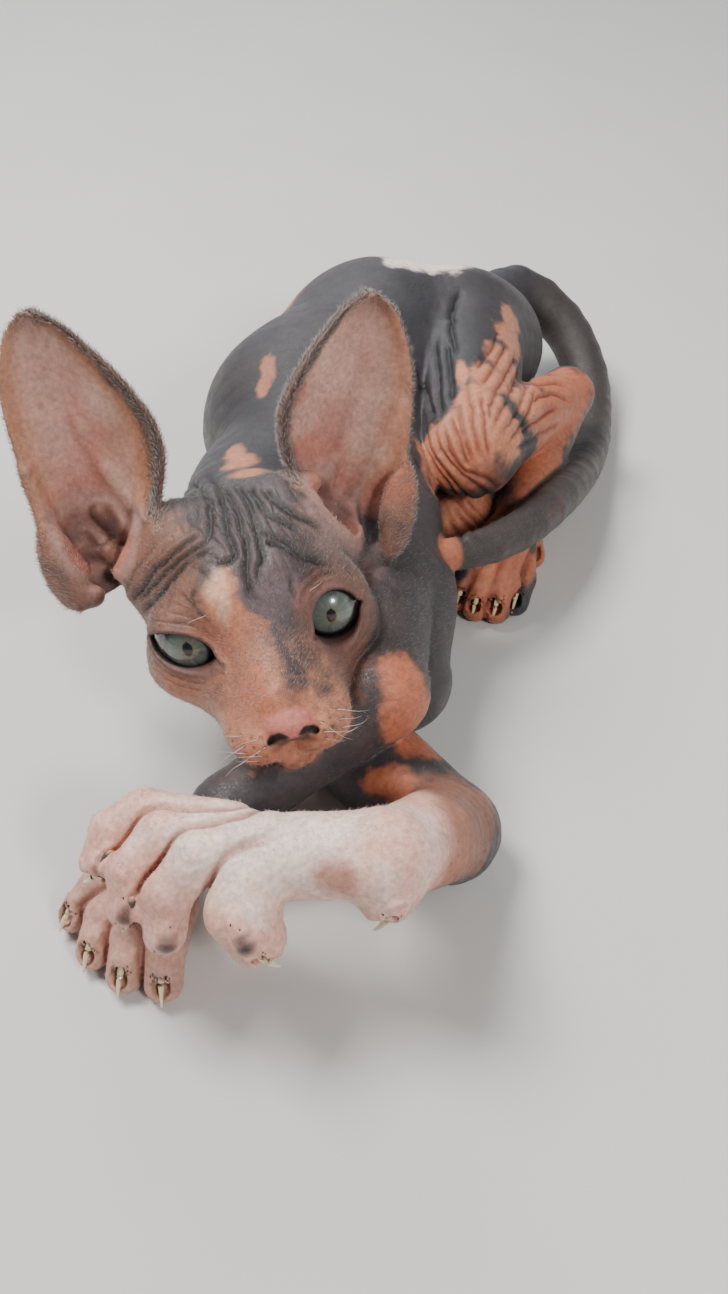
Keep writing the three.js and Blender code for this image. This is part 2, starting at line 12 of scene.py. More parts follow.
import bpy
import numpy as np
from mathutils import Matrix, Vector


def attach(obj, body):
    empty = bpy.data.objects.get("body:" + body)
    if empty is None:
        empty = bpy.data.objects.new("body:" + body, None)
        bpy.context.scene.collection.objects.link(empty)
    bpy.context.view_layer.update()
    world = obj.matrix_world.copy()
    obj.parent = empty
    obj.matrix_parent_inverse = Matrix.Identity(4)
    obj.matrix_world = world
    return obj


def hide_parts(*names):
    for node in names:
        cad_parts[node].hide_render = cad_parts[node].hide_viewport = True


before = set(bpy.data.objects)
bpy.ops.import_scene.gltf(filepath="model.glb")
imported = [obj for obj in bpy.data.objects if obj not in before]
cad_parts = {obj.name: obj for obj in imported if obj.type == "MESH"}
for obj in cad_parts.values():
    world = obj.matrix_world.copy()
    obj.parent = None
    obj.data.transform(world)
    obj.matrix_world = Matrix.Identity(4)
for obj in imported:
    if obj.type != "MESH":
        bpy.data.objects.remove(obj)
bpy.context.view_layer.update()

# The step from the photo's frame to the row's
STAND = np.array([-3.22, -233.32, 0.0])

# How far inside the body's sizes the skin starts, and how far skin and hairs stay off the floor
SKIN_IN = 0.25
FLOOR_GAP = 0.03
HAIR_GAP = 0.05

# The camera of the photo

PHOTO_WIDE, PHOTO_HIGH = 728, 1294
FOCAL = 1120.0
CAMERA_HIGH = 222.0
CAMERA_DOWN = math.radians(46)
FORWARD = np.array([0, math.cos(CAMERA_DOWN), -math.sin(CAMERA_DOWN)])
DOWNWARD = np.array([0, -math.sin(CAMERA_DOWN), -math.cos(CAMERA_DOWN)])
EYE_POINT = np.array([0, 0, CAMERA_HIGH])


def photo_ray(u, v):
    """Unit directions from the camera through pixels of the photo."""
    u, v = np.atleast_1d(u).astype(float), np.atleast_1d(v).astype(float)
    right = ((u - PHOTO_WIDE / 2) / FOCAL)[:, None] * np.array([1.0, 0, 0])
    down = ((v - PHOTO_HIGH / 2) / FOCAL)[:, None] * DOWNWARD
    return unit_rows(FORWARD + right + down)


def metres(points):
    return (np.asarray(points) + STAND) * 0.001


def unit(v):
    return v / np.linalg.norm(v)


def unit_rows(v):
    return v / np.maximum(np.linalg.norm(v, axis=1, keepdims=True), 1e-9)


# Sizes of the body

HEAD_AT = np.array([-21.5, 168.5, 54])
HEAD_YAW, HEAD_PITCH, HEAD_ROLL = 12.5, 20, 6.5
EYE_AT = np.array([14.8, -9.3, -1.6])
EYE_RADIUS = 8.7
LID = 1.4
SOCKET_GAP = 0.12
# Opening between the lids: its middle beside and above the eyeball's, half width and height, tilt
EYE_OPEN = {-1: (-0.7, -1.1, 5.8, 6.1, 8), 1: (1.6, -0.1, 7.2, 3.9, 16)}

NOSTRIL = [
    (1.7, 25.2, -13.9, 0.7), (2.9, 24.6, -13.6, 0.95), (4.2, 23.4, -14.2, 0.75), (5.1, 22, -15.3, 0.4),
]

# Lines of the body, as points (x, y, z, radius). The trunk is this much flatter than its line
TRUNK_FLAT = 1.06
TRUNK = [
    (8, 186, 17, 14), (3, 210, 22, 19), (-9, 238, 26.5, 28),
    (-13, 276, 29, 32), (5, 312, 29.2, 31), (34, 326, 26, 24.5),
]
NECK = [(-25, 196, 45, 20), (-27, 212, 43, 18), (-24, 228, 38, 20), (-12, 244, 32, 23)]
TAIL = [
    (37, 336, 30, 11), (52, 355, 30, 9), (68, 351, 21, 8), (76, 334, 11, 7.5),
    (75, 311, 6.4, 7), (69, 286, 10, 6.5), (56, 254, 21, 6), (41, 231.5, 26.5, 5.5),
    (27, 220, 30, 4.8), (17, 216, 32, 4), (11, 217, 33, 3.2),
]
LEFT_ARM = [(4, 226, 33, 15), (4, 169, 32, 10.5), (-30, 146, 19, 8), (-44, 134, 8.8, 8)]
RIGHT_ARM = [(-14, 183, 12.8, 13), (19, 146, 11, 11.5), (4.5, 120, 40, 9), (-24, 123.5, 35.5, 8.5)]
LEFT_LEG = [(31, 318, 36, 20), (29, 251, 40, 13), (62, 294, 29, 8), (41, 242, 14, 7)]
RIGHT_LEG = [(31, 316, 17, 17), (25, 256, 11.6, 12), (55, 303, 7.7, 8), (40, 262, 6.2, 6.5)]
RIGHT_DIGITS = [
    [(-14, 122, 37, 6.5), (-22, 117, 36, 7.2), (-23, 112, 33.5, 7.4), (-20.5, 108.5, 30.5, 6.2)],
    [(-20, 124, 38, 6), (-32, 121, 38.5, 5.4), (-38, 115.5, 33.5, 5), (-39, 112, 25.5, 4.6)],
    [(-24, 127, 37, 5.5), (-40, 127, 37.5, 5), (-46, 121, 33, 4.6), (-47, 116.5, 27, 4.1)],
    [(-26, 130, 36, 5), (-44, 133, 37, 4.6), (-51, 130.5, 33.5, 4.4), (-54, 126, 29, 3.9)],
    [(6, 119, 40, 6), (4.6, 117, 36.5, 6.8), (4.2, 115, 34.5, 6)],
]
LEFT_DIGITS = [
    [(-50, 136, 9, 4.6), (-59, 133, 7.4, 4.4), (-63.5, 128.5, 3.8, 4)],
    [(-48, 131, 10, 5), (-55.5, 126, 8.4, 4.6), (-58, 120, 3.9, 4.2)],
    [(-44, 128, 10.5, 5), (-49, 121, 9, 4.7), (-50.5, 114.5, 4, 4.3)],
    [(-40, 127, 10, 5), (-42, 119, 8.6, 4.8), (-42, 112.5, 4.1, 4.4)],
    [(-38, 145, 13, 4), (-42, 145.5, 8, 3.6), (-46, 145, 5.2, 3.2)],
]
LEFT_TOES = [
    [(38, 245, 15, 4.8), (31, 235, 11, 4.4), (27.5, 230, 4, 4.2)],
    [(40, 243, 14.5, 5), (34.5, 232, 10, 4.6), (31.5, 226, 4.2, 4.4)],
    [(43, 242, 13.5, 5), (39.5, 231, 9, 4.6), (37, 225, 4.2, 4.4)],
    [(45, 244, 12, 4.6), (44.5, 234, 7.5, 4.3), (42.5, 228, 4, 4.2)],
]
RIGHT_TOES = [
    [(37, 261, 7.5, 4.6), (33, 250, 6, 4.3), (31, 244, 3.8, 4)],
    [(39, 259, 7.5, 4.8), (38, 247, 6, 4.4), (37, 241, 3.9, 4.1)],
    [(41, 260, 7.5, 4.8), (43.5, 249, 6, 4.4), (43.5, 243, 3.9, 4.1)],
    [(43, 262, 6.8, 4.4), (48.5, 253, 5.8, 4.2), (49.5, 248, 3.7, 3.9)],
]
# Ears: depth of the cup, radius of the rim's bead, then both edges as (share of height, across)
EAR_CUP, EAR_BEAD = 8, 0.9
EAR_INNER = [
    (-0.15, -9), (0.12, -12.5), (0.28, -17), (0.42, -18.5),
    (0.62, -15.5), (0.8, -10.5), (0.94, -5), (1, -1),
]
EAR_OUTER = [
    (-0.2, 12), (0.05, 14), (0.3, 14), (0.5, 13.5),
    (0.7, 12), (0.86, 8.5), (0.96, 4.5), (1, 1),
]
# Root and tip of each ear and the way its cup faces, in the head's frame
EARS = {
    -1: ((-24.5, -25, 10), (-42, -32, 56), (-0.3, 0.92, 0.2)),
    1: ((27, -25, 15.5), (31, -31, 68.5), (0.25, 0.94, 0.2)),
}

# Fields


def blend(a, b, k):
    """The nearer of two forms, melted together over k."""
    h = np.maximum(k - np.abs(a - b), 0) / k
    return np.minimum(a, b) - h * h * k * 0.25


def carve(a, b, k):
    """a without b, with a rounded edge."""
    return -blend(-a, b, k)


def cone(q, a, b):
    bx, by, bz = (b[i] - a[i] for i in range(3))
    px, py, pz = (q[i] - a[i] for i in range(3))
    t = np.clip((px * bx + py * by + pz * bz) / (bx * bx + by * by + bz * bz), 0, 1)
    far = np.sqrt((px - t * bx) ** 2 + (py - t * by) ** 2 + (pz - t * bz) ** 2)
    return far - (a[3] + t * (b[3] - a[3]))


def egg(q, c, r):
    x, y, z = ((q[i] - c[i]) / r[i] for i in range(3))
    k0 = np.sqrt(x * x + y * y + z * z)
    k1 = np.sqrt((x / r[0]) ** 2 + (y / r[1]) ** 2 + (z / r[2]) ** 2) + 1e-6
    return k0 * (k0 - 1) / k1


def chain(q, line, k):
    d = cone(q, line[0], line[1])
    for a, b in zip(line[1:], line[2:]):
        d = blend(d, cone(q, a, b), k)
    return d


def near(q, c, size):
    """1 at c, falling to 0 some sizes away."""
    return np.exp(-((q[0] - c[0]) ** 2 + (q[1] - c[1]) ** 2 + (q[2] - c[2]) ** 2) / size**2)


def head_basis():
    yaw, pitch, roll = (math.radians(x) for x in (HEAD_YAW, HEAD_PITCH, HEAD_ROLL))
    level = np.array([math.sin(yaw), -math.cos(yaw), 0])
    left = np.array([math.cos(yaw), math.sin(yaw), 0])
    up = np.array([0, 0, 1.0])
    forward = level * math.cos(pitch) + up * math.sin(pitch)
    top = up * math.cos(pitch) - level * math.sin(pitch)
    left_up = left * math.cos(roll) + top * math.sin(roll)
    top_up = top * math.cos(roll) - left * math.sin(roll)
    return np.array([-left_up, forward, top_up])


HEAD = head_basis()


def to_head(q):
    """Head frame: x to the animal's right, y forward, z up, the middle of the eyes at zero."""
    p = [q[i] - HEAD_AT[i] for i in range(3)]
    return [HEAD[j][0] * p[0] + HEAD[j][1] * p[1] + HEAD[j][2] * p[2] for j in range(3)]


def on_head(a):
    return HEAD_AT + np.asarray(a, float) @ HEAD


def eye_frame(h, side):
    """Place in the frame of one eye: along the slit, out along the gaze, across the slit."""
    beside, above, _, _, tilt = EYE_OPEN[side]
    ex, ey, ez = h[0] - side * (EYE_AT[0] + beside), h[1] - EYE_AT[1], h[2] - EYE_AT[2] - above
    turn = math.radians(-10) * side
    x = ex * math.cos(turn) + ey * math.sin(turn)
    y = -ex * math.sin(turn) + ey * math.cos(turn)
    tilt = math.radians(-tilt) * side
    u = x * math.cos(tilt) - ez * math.sin(tilt)
    w = x * math.sin(tilt) + ez * math.cos(tilt)
    return u, y, w


def to_ball(h, side):
    """Distance from the middle of an eyeball."""
    x, y, z = h[0] - side * EYE_AT[0], h[1] - EYE_AT[1], h[2] - EYE_AT[2]
    return np.sqrt(x**2 + y**2 + z**2)


def slit(h, side):
    """Distance outside the opening between the lids, as seen along the gaze."""
    wide, high = EYE_OPEN[side][2:4]
    u, y, w = eye_frame(h, side)
    r = np.sqrt((u / wide) ** 2 + (w / high) ** 2) + 1e-6
    steep = np.sqrt((u / wide**2) ** 2 + (w / high**2) ** 2) / r + 1e-6
    round_lid = (r - 1) / steep
    corner = np.abs(w) - 0.45 * high * np.clip(1 - np.abs(u) / (1.22 * wide), 0, 1) ** 0.8
    return blend(round_lid, np.maximum(corner, np.abs(u) - 1.22 * wide), 1.0), y


def head_field(q):
    h = to_head(q)
    s = [np.abs(h[0]), h[1], h[2]]
    d = egg(s, (0, -25, 1.5), (24, 26, 22))
    d = blend(d, egg(s, (0, -8, 6), (15, 13, 11)), 8)
    d = blend(d, egg(s, (16.5, -14, -9), (10.5, 14, 9.5)), 7)
    d = blend(d, cone(s, (0, -6, 1, 9), (0, 16.5, -9.5, 6)), 6)
    d = blend(d, egg(s, (5.8, 14.5, -16.5), (7.2, 9, 6.3)), 4)
    d = blend(d, egg(s, (0, 21.5, -12.5), (4.7, 3.8, 3.6)), 2)
    d = blend(d, cone(s, (0, -18, -17, 11), (0, 12.5, -23.2, 5.2)), 4)
    d = blend(d, cone(s, (14, -22, -12, 9), (6, 5, -18.5, 6.5)), 5)
    d = blend(d, cone(s, (0, -26, -2, 21), (0, -46, -11, 18)), 6)
    d = blend(d, cone(s, (13, -25, 4, 12), (21, -27, 6, 7.5)), 6)
    d = blend(d, egg(s, (12, -24, 11), (10.5, 12, 12)), 6)
    d = blend(d, cone(s, (9.5, -6, -9, 9), (5.5, 10, -13.5, 7)), 6)
    return blend(d, to_ball(s, 1) - EYE_RADIUS - LID, 2.5)


def carve_face(q, d):
    """Eye sockets, nostrils and the lids' openings."""
    h = to_head(q)
    for side in (-1, 1):
        opening, out = slit(h, side)
        opening = np.maximum(opening, 1.5 - out)
        d = carve(d, opening, 0.7)
        d = np.maximum(d, EYE_RADIUS + SOCKET_GAP - to_ball(h, side))
        d = carve(d, chain([h[0] * side, h[1], h[2]], NOSTRIL, 0.8), 0.5)
    return d


def smooth_curve(points, x):
    """A smooth line through points (a, s), read at x."""
    a = np.array([p[0] for p in points], float)
    s = np.array([p[1] for p in points], float)
    slope = np.gradient(s, a)
    x = np.clip(x, a[0], a[-1])
    i = np.clip(np.searchsorted(a, x) - 1, 0, len(a) - 2)
    width = a[i + 1] - a[i]
    t = (x - a[i]) / width
    h00, h10 = 2 * t**3 - 3 * t**2 + 1, t**3 - 2 * t**2 + t
    h01, h11 = -2 * t**3 + 3 * t**2, t**3 - t**2
    return h00 * s[i] + h10 * width * slope[i] + h01 * s[i + 1] + h11 * width * slope[i + 1]


def dense(points, step=0.35):
    """A smooth curve through points, in short steps."""
    p = np.asarray(points, float)
    ends = np.vstack([2 * p[0] - p[1], p, 2 * p[-1] - p[-2]])
    out = []
    for i in range(1, len(ends) - 2):
        a, b, c, d = ends[i - 1 : i + 3]
        n = max(2, int(np.linalg.norm(c - b) / step))
        t = (np.arange(n) / n)[:, None]
        square = (2 * a - 5 * b + 4 * c - d) * t**2
        cube = (3 * b - a - 3 * c + d) * t**3
        out.append(b + 0.5 * ((c - a) * t + square + cube))
    out.append(p[-1:])
    return np.vstack(out)


def ear_axes(side):
    root, tip, face = (np.array(a, float) for a in EARS[side])
    tall = np.linalg.norm(tip - root)
    along = (tip - root) / tall
    opening = unit(face - along * face.dot(along))
    across = np.cross(opening, along) * side
    return root, tall, along, across, opening


def ear_place(q, side):
    """Place in an ear: share of its height, across to its outer edge, out of its cup. Then its height."""
    root, tall, along, across, opening = ear_axes(side)
    h = to_head(q)
    p = [h[i] - root[i] for i in range(3)]
    a, s, n = (p[0] * v[0] + p[1] * v[1] + p[2] * v[2] for v in (along, across, opening))
    return a / tall, s, n, tall


def ear_sheet(a, s):
    """Both edges of an ear's sheet, how deep its middle lies, and the cosine of its slope."""
    low, high = smooth_curve(EAR_INNER, a), smooth_curve(EAR_OUTER, a)
    w = np.clip((s - low) / (high - low), 0, 1)
    bow = 1 - np.abs(2 * w - 1) ** 2.3
    cup = EAR_CUP * (1.15 - 0.75 * np.clip(a, 0, 1))
    slope = cup * 4.6 * np.abs(2 * w - 1) ** 1.3 / (high - low)
    return low, high, -cup * bow, 1 / np.sqrt(1 + slope**2)


# Forms round the ear's mouth, in millimetres: up the ear, across to its outer edge, out of its cup
EAR_FORMS = {
    -1: {
        "hollow": ((3, -3, 0.5), (10.5, 8.5, 6.2)),
        "lobe": ((2.5, 12.8, 2.2), (10.2, 4.4, 2.3)),
        "knobs": [(7.5, -9, 0.5, 2.4), (3.2, -9.5, 3.4, 1.7)],
        "ridges": [
            [(26, 11.5, 0.3, 0.7), (13, 9, -2.8, 1.4), (5, 6, -5.6, 1.5), (-2, 4, -4.5, 1.3)],
            [(30, 2, -3.9, 0.6), (16, 0.5, -5.4, 1.1), (6, -3, -6.4, 1.4)],
            [(1.6, -10.5, 8, 1.0), (-4, -3, 6.4, 1.3), (-10, 5, 1.5, 1.2)],
        ],
    },
    1: {
        "hollow": ((4, 3.4, -1.2), (10, 8, 5.6)),
        "lobe": ((-1, 13.5, 1.2), (9.6, 4.2, 2.3)),
        "knobs": [(8.0, 2.2, -5.6, 2.1), (2.0, 9.0, -5.0, 2.2), (-1.0, 3.4, -4.2, 1.9)],
        "ridges": [
            [(22, 12.6, 1.2, 0.7), (12, 12.6, 1.0, 1.2), (4, 12, 0.6, 1.4), (-3, 9.5, 0, 1.4)],
            [(30, 0, -4.2, 0.6), (17, -2, -5.6, 1.1), (8, -5, -6.4, 1.4)],
            [(10, -9, -4.5, 1.3), (2, -6, -0.5, 1.6), (-5, 1, 1.5, 1.5)],
        ],
    },
}


def ear_field(q, side):
    """The thin cup of one ear with the lobe of its pocket."""
    a, s, n, tall = ear_place(q, side)
    low, high, middle, lean = ear_sheet(a, s)
    beyond = np.maximum(np.maximum(low - s, s - high) * 0.8, (a - 1) * tall)
    beyond = np.maximum(beyond, (-0.2 - a) * tall)
    half = 0.62 + 1.2 * np.clip(0.2 - a, 0, 1)
    off = np.abs(n - middle) * lean - half
    edge = beyond + 0.6
    d = np.sqrt(np.maximum(edge, 0) ** 2 + np.maximum(off + 0.25, 0) ** 2)
    d = d + np.minimum(np.maximum(edge, off + 0.25), 0) - 0.25
    bead = np.sqrt((beyond + EAR_BEAD) ** 2 + ((n - middle) * lean) ** 2) - EAR_BEAD
    d = blend(d, bead, 0.8)
    t = [a * tall, s, n]
    lobe = egg(t, *EAR_FORMS[side]["lobe"])
    lobe = blend(lobe, cone(t, (-9, 9, 0, 2.6), (-4, 14.5, 0, 1.8)), 2)
    return blend(d, lobe, 3.0)


def ear_mouth(q, d, side):
    """Hollows the mouth of an ear out of head and cup, and sets its knobs and ridges in it."""
    a, s, n, tall = ear_place(q, side)
    _, _, middle, lean = ear_sheet(a, s)
    t = [a * tall, s, n]
    forms = EAR_FORMS[side]
    before_cup = (middle - n) * lean + 0.75
    d = carve(d, np.maximum(egg(t, *forms["hollow"]), before_cup), 1.0)
    for x, y, z, r in forms["knobs"]:
        d = blend(d, cone(t, (x, y, z - 0.7, r), (x - 5, y - 1.5, z - 2.0, r)), 2.6)
    for ridge in forms["ridges"]:
        d = blend(d, chain((t[0], t[1], t[2] + 1.3), ridge, 1.5), 2.8)
    return d


# The grid


def spaced(bands):
    """Grid lines through bands of (start, step), ending at the last start."""
    out = []
    for (start, step), (stop, _) in zip(bands, bands[1:]):
        count = max(1, round((stop - start) / (step * 1)))
        out.append(start + (stop - start) * np.arange(count) / count)
    out.append([bands[-1][0]])
    return np.concatenate(out).astype(np.float32)


# Places and steps of the grid's lines along each axis, and the distance field on it
XS = spaced([(-83, 0.66), (-60, 0.56), (10, 0.72), (88, 0)])
YS = spaced([(98, 0.62), (140, 0.56), (212, 0.72), (370, 0)])
ZS = spaced([(-1.8, 0.7), (22, 0.58), (108, 0)])
vol = np.full((len(XS), len(YS), len(ZS)), 30, np.float32)


def window(low, high):
    """The part of the grid inside a box: its cuts, and its places."""
    cuts = []
    for axis, lo, hi in zip((XS, YS, ZS), low, high):
        cuts.append(slice(max(np.searchsorted(axis, lo) - 1, 0), np.searchsorted(axis, hi) + 1))
    x, y, z = XS[cuts[0]], YS[cuts[1]], ZS[cuts[2]]
    return tuple(cuts), (x[:, None, None], y[None, :, None], z[None, None, :])


def add(field, low, high, k):
    """Melts a field into the volume inside a box, with softness k, a number or a function."""
    cuts, q = window(low, high)
    here = field(q)
    soft = k(q) if callable(k) else k
    vol[cuts] = blend(vol[cuts], here, soft)


def around(*lines, room=9):
    """The box of lines of (x, y, z, radius), with room to spare."""
    p = np.array([pt for line in lines for pt in line], float)
    return (p[:, :3] - p[:, 3:] - room).min(0), (p[:, :3] + p[:, 3:] + room).max(0)


def limb(line, digits, joints, fork=2.2):
    """A limb whose bones melt at the joints, with digits at its end."""

    def field(q):
        d = cone(q, line[0], line[1])
        for i in range(1, len(line) - 1):
            k = 0.6 + joints[i - 1] * near(q, line[i], line[i][3] * 1.5)
            d = blend(d, cone(q, line[i], line[i + 1]), k)
        hand = chain(q, digits[0], 1.5)
        for digit in digits[1:]:
            hand = blend(hand, chain(q, digit, 1.5), 0.9)
        return blend(d, hand, fork)

    return field


def root_soft(place, size, most):
    """Softness that is greatest at the root of a part and falls away from it."""
    return lambda q: 0.7 + most * near(q, place, size)


add(lambda q: chain((q[0], q[1], 30 + (q[2] - 30) * TRUNK_FLAT), TRUNK, 10), *around(TRUNK), 1)
add(lambda q: chain(q, NECK, 8), *around(NECK), 12)
HEAD_BOX = (HEAD_AT - (43, 38, 48), HEAD_AT + (34, 58, 40))
add(head_field, *HEAD_BOX, lambda q: 0.8 + 9 * near(q, (-24, 205, 46), 24))
for line, digits, joints, size, most in (
    (LEFT_ARM, LEFT_DIGITS, (5, 4), 20, 9),
    (RIGHT_ARM, RIGHT_DIGITS, (4, 5), 18, 9),
    (LEFT_LEG, LEFT_TOES, (5, 4), 28, 9),
    (RIGHT_LEG, RIGHT_TOES, (5, 4), 24, 8),
):
    add(limb(line, digits, joints), *around(line, *digits), root_soft(line[0][:3], size, most))
tail_line = dense(TAIL, 7)
for a, b in zip(tail_line, tail_line[1:]):
    add(lambda q: cone(q, a, b), *around([a, b]), 0.5)
vol += SKIN_IN
for side in (-1, 1):
    root, tall, along, across, _ = ear_axes(side)
    ends = [(a, b) for a in (-0.2, 1) for b in (-20, 20)]
    ends = np.array([on_head(root + along * tall * a + across * b) for a, b in ends])
    box = ends.min(0) - 9, ends.max(0) + 9
    add(lambda q: ear_field(q, side), *box, root_soft(on_head(root), 15, 6))
    cuts, q = window(*box)
    vol[cuts] = ear_mouth(q, vol[cuts], side)
cuts, q = window(*HEAD_BOX)
vol[cuts] = carve_face(q, vol[cuts])


def claw_hook(line, up, out):
    """The curve of a claw at the end of a digit: points with radii, from root to tip."""
    before, tip = np.array(line[-2][:3], float), np.array(line[-1][:3], float)
    up = unit(np.array(up, float))
    forward = unit(tip - before)
    forward = unit(forward - 0.7 * forward.dot(up) * up)
    rise = unit(up - forward * up.dot(forward))
    reach = line[-1][3]

    def at(u):
        point = tip + forward * reach * (-0.5 + out * u) + rise * reach * (0.85 - 0.95 * u * u)
        return (*point, 1.5 - 1.2 * u)

    return at


# The way up of the feet on the floor and of the raised paw, then how far out the claws reach
FLOOR_UP, PAW_UP = (0, 0, 1), (0.2, -1, 0.2)
CLAWS = {}
for name, digits, up, out in (
    ("foreleg_left", LEFT_DIGITS, FLOOR_UP, 1.6),
    ("foreleg_right", RIGHT_DIGITS, PAW_UP, 1.95),
    ("hindleg_left", LEFT_TOES, FLOOR_UP, 1.3),
    ("hindleg_right", RIGHT_TOES, FLOOR_UP, 1.3),
):
    for i, digit in enumerate(digits):
        CLAWS[f"claw_{name}_{i + 1}"] = claw_hook(digit, up, out)

for hook in CLAWS.values():
    back, root, mid, front = (np.array(hook(u)) for u in (-0.35, 0, 0.3, 0.62))
    slot = [(*back[:3], 1.0), (*root[:3], 1.5), (*mid[:3], 1.7), (*front[:3], 1.9)]
    cuts, q = window(*around(slot, room=3))
    hood = chain(q, [(*back[:3], 1.8), (*root[:3], 2.6), (*mid[:3], 2.3)], 1)
    vol[cuts] = carve(blend(vol[cuts], hood, 1.6), chain(q, slot, 0.8), 0.8)

vol = np.maximum(vol, FLOOR_GAP - ZS[None, None, :])


# From the grid to a mesh


def sample(place):
    """The volume and its slope at places in grid steps."""
    top = np.array(vol.shape) - 2
    base = np.clip(np.floor(place).astype(int), 0, top)
    x, y, z = np.clip(place - base, 0, 1).T
    corner = {}
    for i in (0, 1):
        for j in (0, 1):
            for k in (0, 1):
                corner[i, j, k] = vol[base[:, 0] + i, base[:, 1] + j, base[:, 2] + k]

    def mix(a, b, t):
        return a + (b - a) * t

    plane = {(i, j): mix(corner[i, j, 0], corner[i, j, 1], z) for i in (0, 1) for j in (0, 1)}
    rise = {(i, j): corner[i, j, 1] - corner[i, j, 0] for i in (0, 1) for j in (0, 1)}
    value = mix(mix(plane[0, 0], plane[0, 1], y), mix(plane[1, 0], plane[1, 1], y), x)
    gx = mix(plane[1, 0] - plane[0, 0], plane[1, 1] - plane[0, 1], y)
    gy = mix(plane[0, 1] - plane[0, 0], plane[1, 1] - plane[1, 0], x)
    gz = mix(mix(rise[0, 0], rise[0, 1], y), mix(rise[1, 0], rise[1, 1], y), x)
    return value, np.stack([gx, gy, gz], 1)


def to_grid(points):
    steps = [np.interp(points[:, i], axis, np.arange(len(axis))) for i, axis in enumerate((XS, YS, ZS))]
    return np.stack(steps, 1)


def from_grid(place):
    lines = [np.interp(place[:, i], np.arange(len(axis)), axis) for i, axis in enumerate((XS, YS, ZS))]
    return np.stack(lines, 1)


def surface_net():
    """One vertex in every cell that the surface crosses, one quad round every crossed edge."""
    inside = vol < 0
    count = np.zeros(tuple(n - 1 for n in vol.shape), np.uint8)
    shift = [(i, j, k) for i in (0, 1) for j in (0, 1) for k in (0, 1)]
    nx, ny, nz = count.shape
    for i, j, k in shift:
        count += inside[i : i + nx, j : j + ny, k : k + nz]
    active = (count > 0) & (count < 8)
    cells = np.argwhere(active)
    number = np.full(count.shape, -1, np.int32)
    number[active] = np.arange(len(cells))
    place = np.zeros((len(cells), 3))
    hits = np.zeros(len(cells))
    for axis in range(3):
        step = np.eye(3, dtype=int)[axis]
        for start in shift:
            if start[axis]:
                continue
            a = cells + start
            va, vb = vol[tuple(a.T)], vol[tuple((a + step).T)]
            cross = (va < 0) != (vb < 0)
            t = va[cross] / (va[cross] - vb[cross])
            place[cross] += np.array(start) + t[:, None] * step
            hits[cross] += 1
    place = place / hits[:, None] + cells
    quads = []
    for axis in range(3):
        low = [slice(1, -1)] * 3
        high = [slice(1, -1)] * 3
        low[axis], high[axis] = slice(0, -1), slice(1, None)
        first, second = inside[tuple(low)], inside[tuple(high)]
        edge = np.argwhere(first != second)
        into = second[tuple(edge.T)]
        edge = edge + [0 if i == axis else 1 for i in range(3)]
        u, v = (np.eye(3, dtype=int)[(axis + i) % 3] for i in (1, 2))
        ring = np.stack([number[tuple((edge - s).T)] for s in (u + v, v, 0 * u, u)], 1)
        ring[into] = ring[into][:, ::-1]
        quads.append(ring)
    return place, np.concatenate(quads)


def sides_of(faces):
    n = faces.shape[1]
    return np.concatenate([faces[:, [i, (i + 1) % n]] for i in range(n)])


def edge_key(pairs, count):
    return pairs.min(1).astype(np.int64) * count + pairs.max(1)


# Rounds of evening out, the longest step back to the surface, and the points handled at once
ROUNDS = 4
LONGEST_STEP = 0.6
CHUNK = 4000


def relaxed(place, faces):
    """Evens the mesh out and sets it back on the surface, a few times over."""
    count = len(place)
    pairs = sides_of(faces)
    pairs = pairs[np.unique(edge_key(pairs, count), return_index=True)[1]]
    degree = np.bincount(pairs.ravel(), minlength=count)[:, None]
    for _ in range(ROUNDS):
        total = np.empty_like(place)
        for i in range(3):
            total[:, i] = np.bincount(pairs[:, 0], place[pairs[:, 1], i], count)
            total[:, i] += np.bincount(pairs[:, 1], place[pairs[:, 0], i], count)
        place = on_surface(0.5 * place + 0.5 * total / degree)
    return place


def on_surface(place):
    value, slope = sample(place)
    step = value[:, None] * slope / np.maximum((slope**2).sum(1, keepdims=True), 1e-4)
    length = np.linalg.norm(step, axis=1, keepdims=True)
    return place - step * np.minimum(1, LONGEST_STEP / np.maximum(length, 1e-9))


def split(place, quads, chosen):
    """Quarters the chosen quads. Their neighbours take up the middles of shared sides."""
    count = len(place)
    inner, outer = quads[chosen], quads[~chosen]
    keys = np.unique(edge_key(sides_of(inner), count))
    a, b = keys // count, keys % count
    place = np.vstack([place, (place[a] + place[b]) / 2, place[inner].mean(1)])
    centre = count + len(keys) + np.arange(len(inner))
    middle = [
        count + np.searchsorted(keys, edge_key(inner[:, [i, (i + 1) % 4]], count)) for i in range(4)
    ]
    small = [np.stack([inner[:, i], middle[i], centre, middle[i - 1]], 1) for i in range(4)]
    side_keys = np.stack([edge_key(outer[:, [i, (i + 1) % 4]], count) for i in range(4)], 1)
    found = np.minimum(np.searchsorted(keys, side_keys), len(keys) - 1)
    shared = keys[found] == side_keys
    plain = ~shared.any(1)
    many = []
    for face, hit_side, which in zip(outer[~plain], shared[~plain], found[~plain]):
        ring = []
        for i in range(4):
            ring.append(int(face[i]))
            if hit_side[i]:
                ring.append(int(count + which[i]))
        many.append(ring)
    return place, np.concatenate([outer[plain], *small]), many


def fans(quads, many):
    """All faces as triangles."""
    rest = [(f[0], f[i], f[i + 1]) for f in many for i in range(1, len(f) - 1)]
    rest = np.array(rest).reshape(-1, 3)
    return np.concatenate([quads[:, [0, 1, 2]], quads[:, [0, 2, 3]], rest]).astype(int)


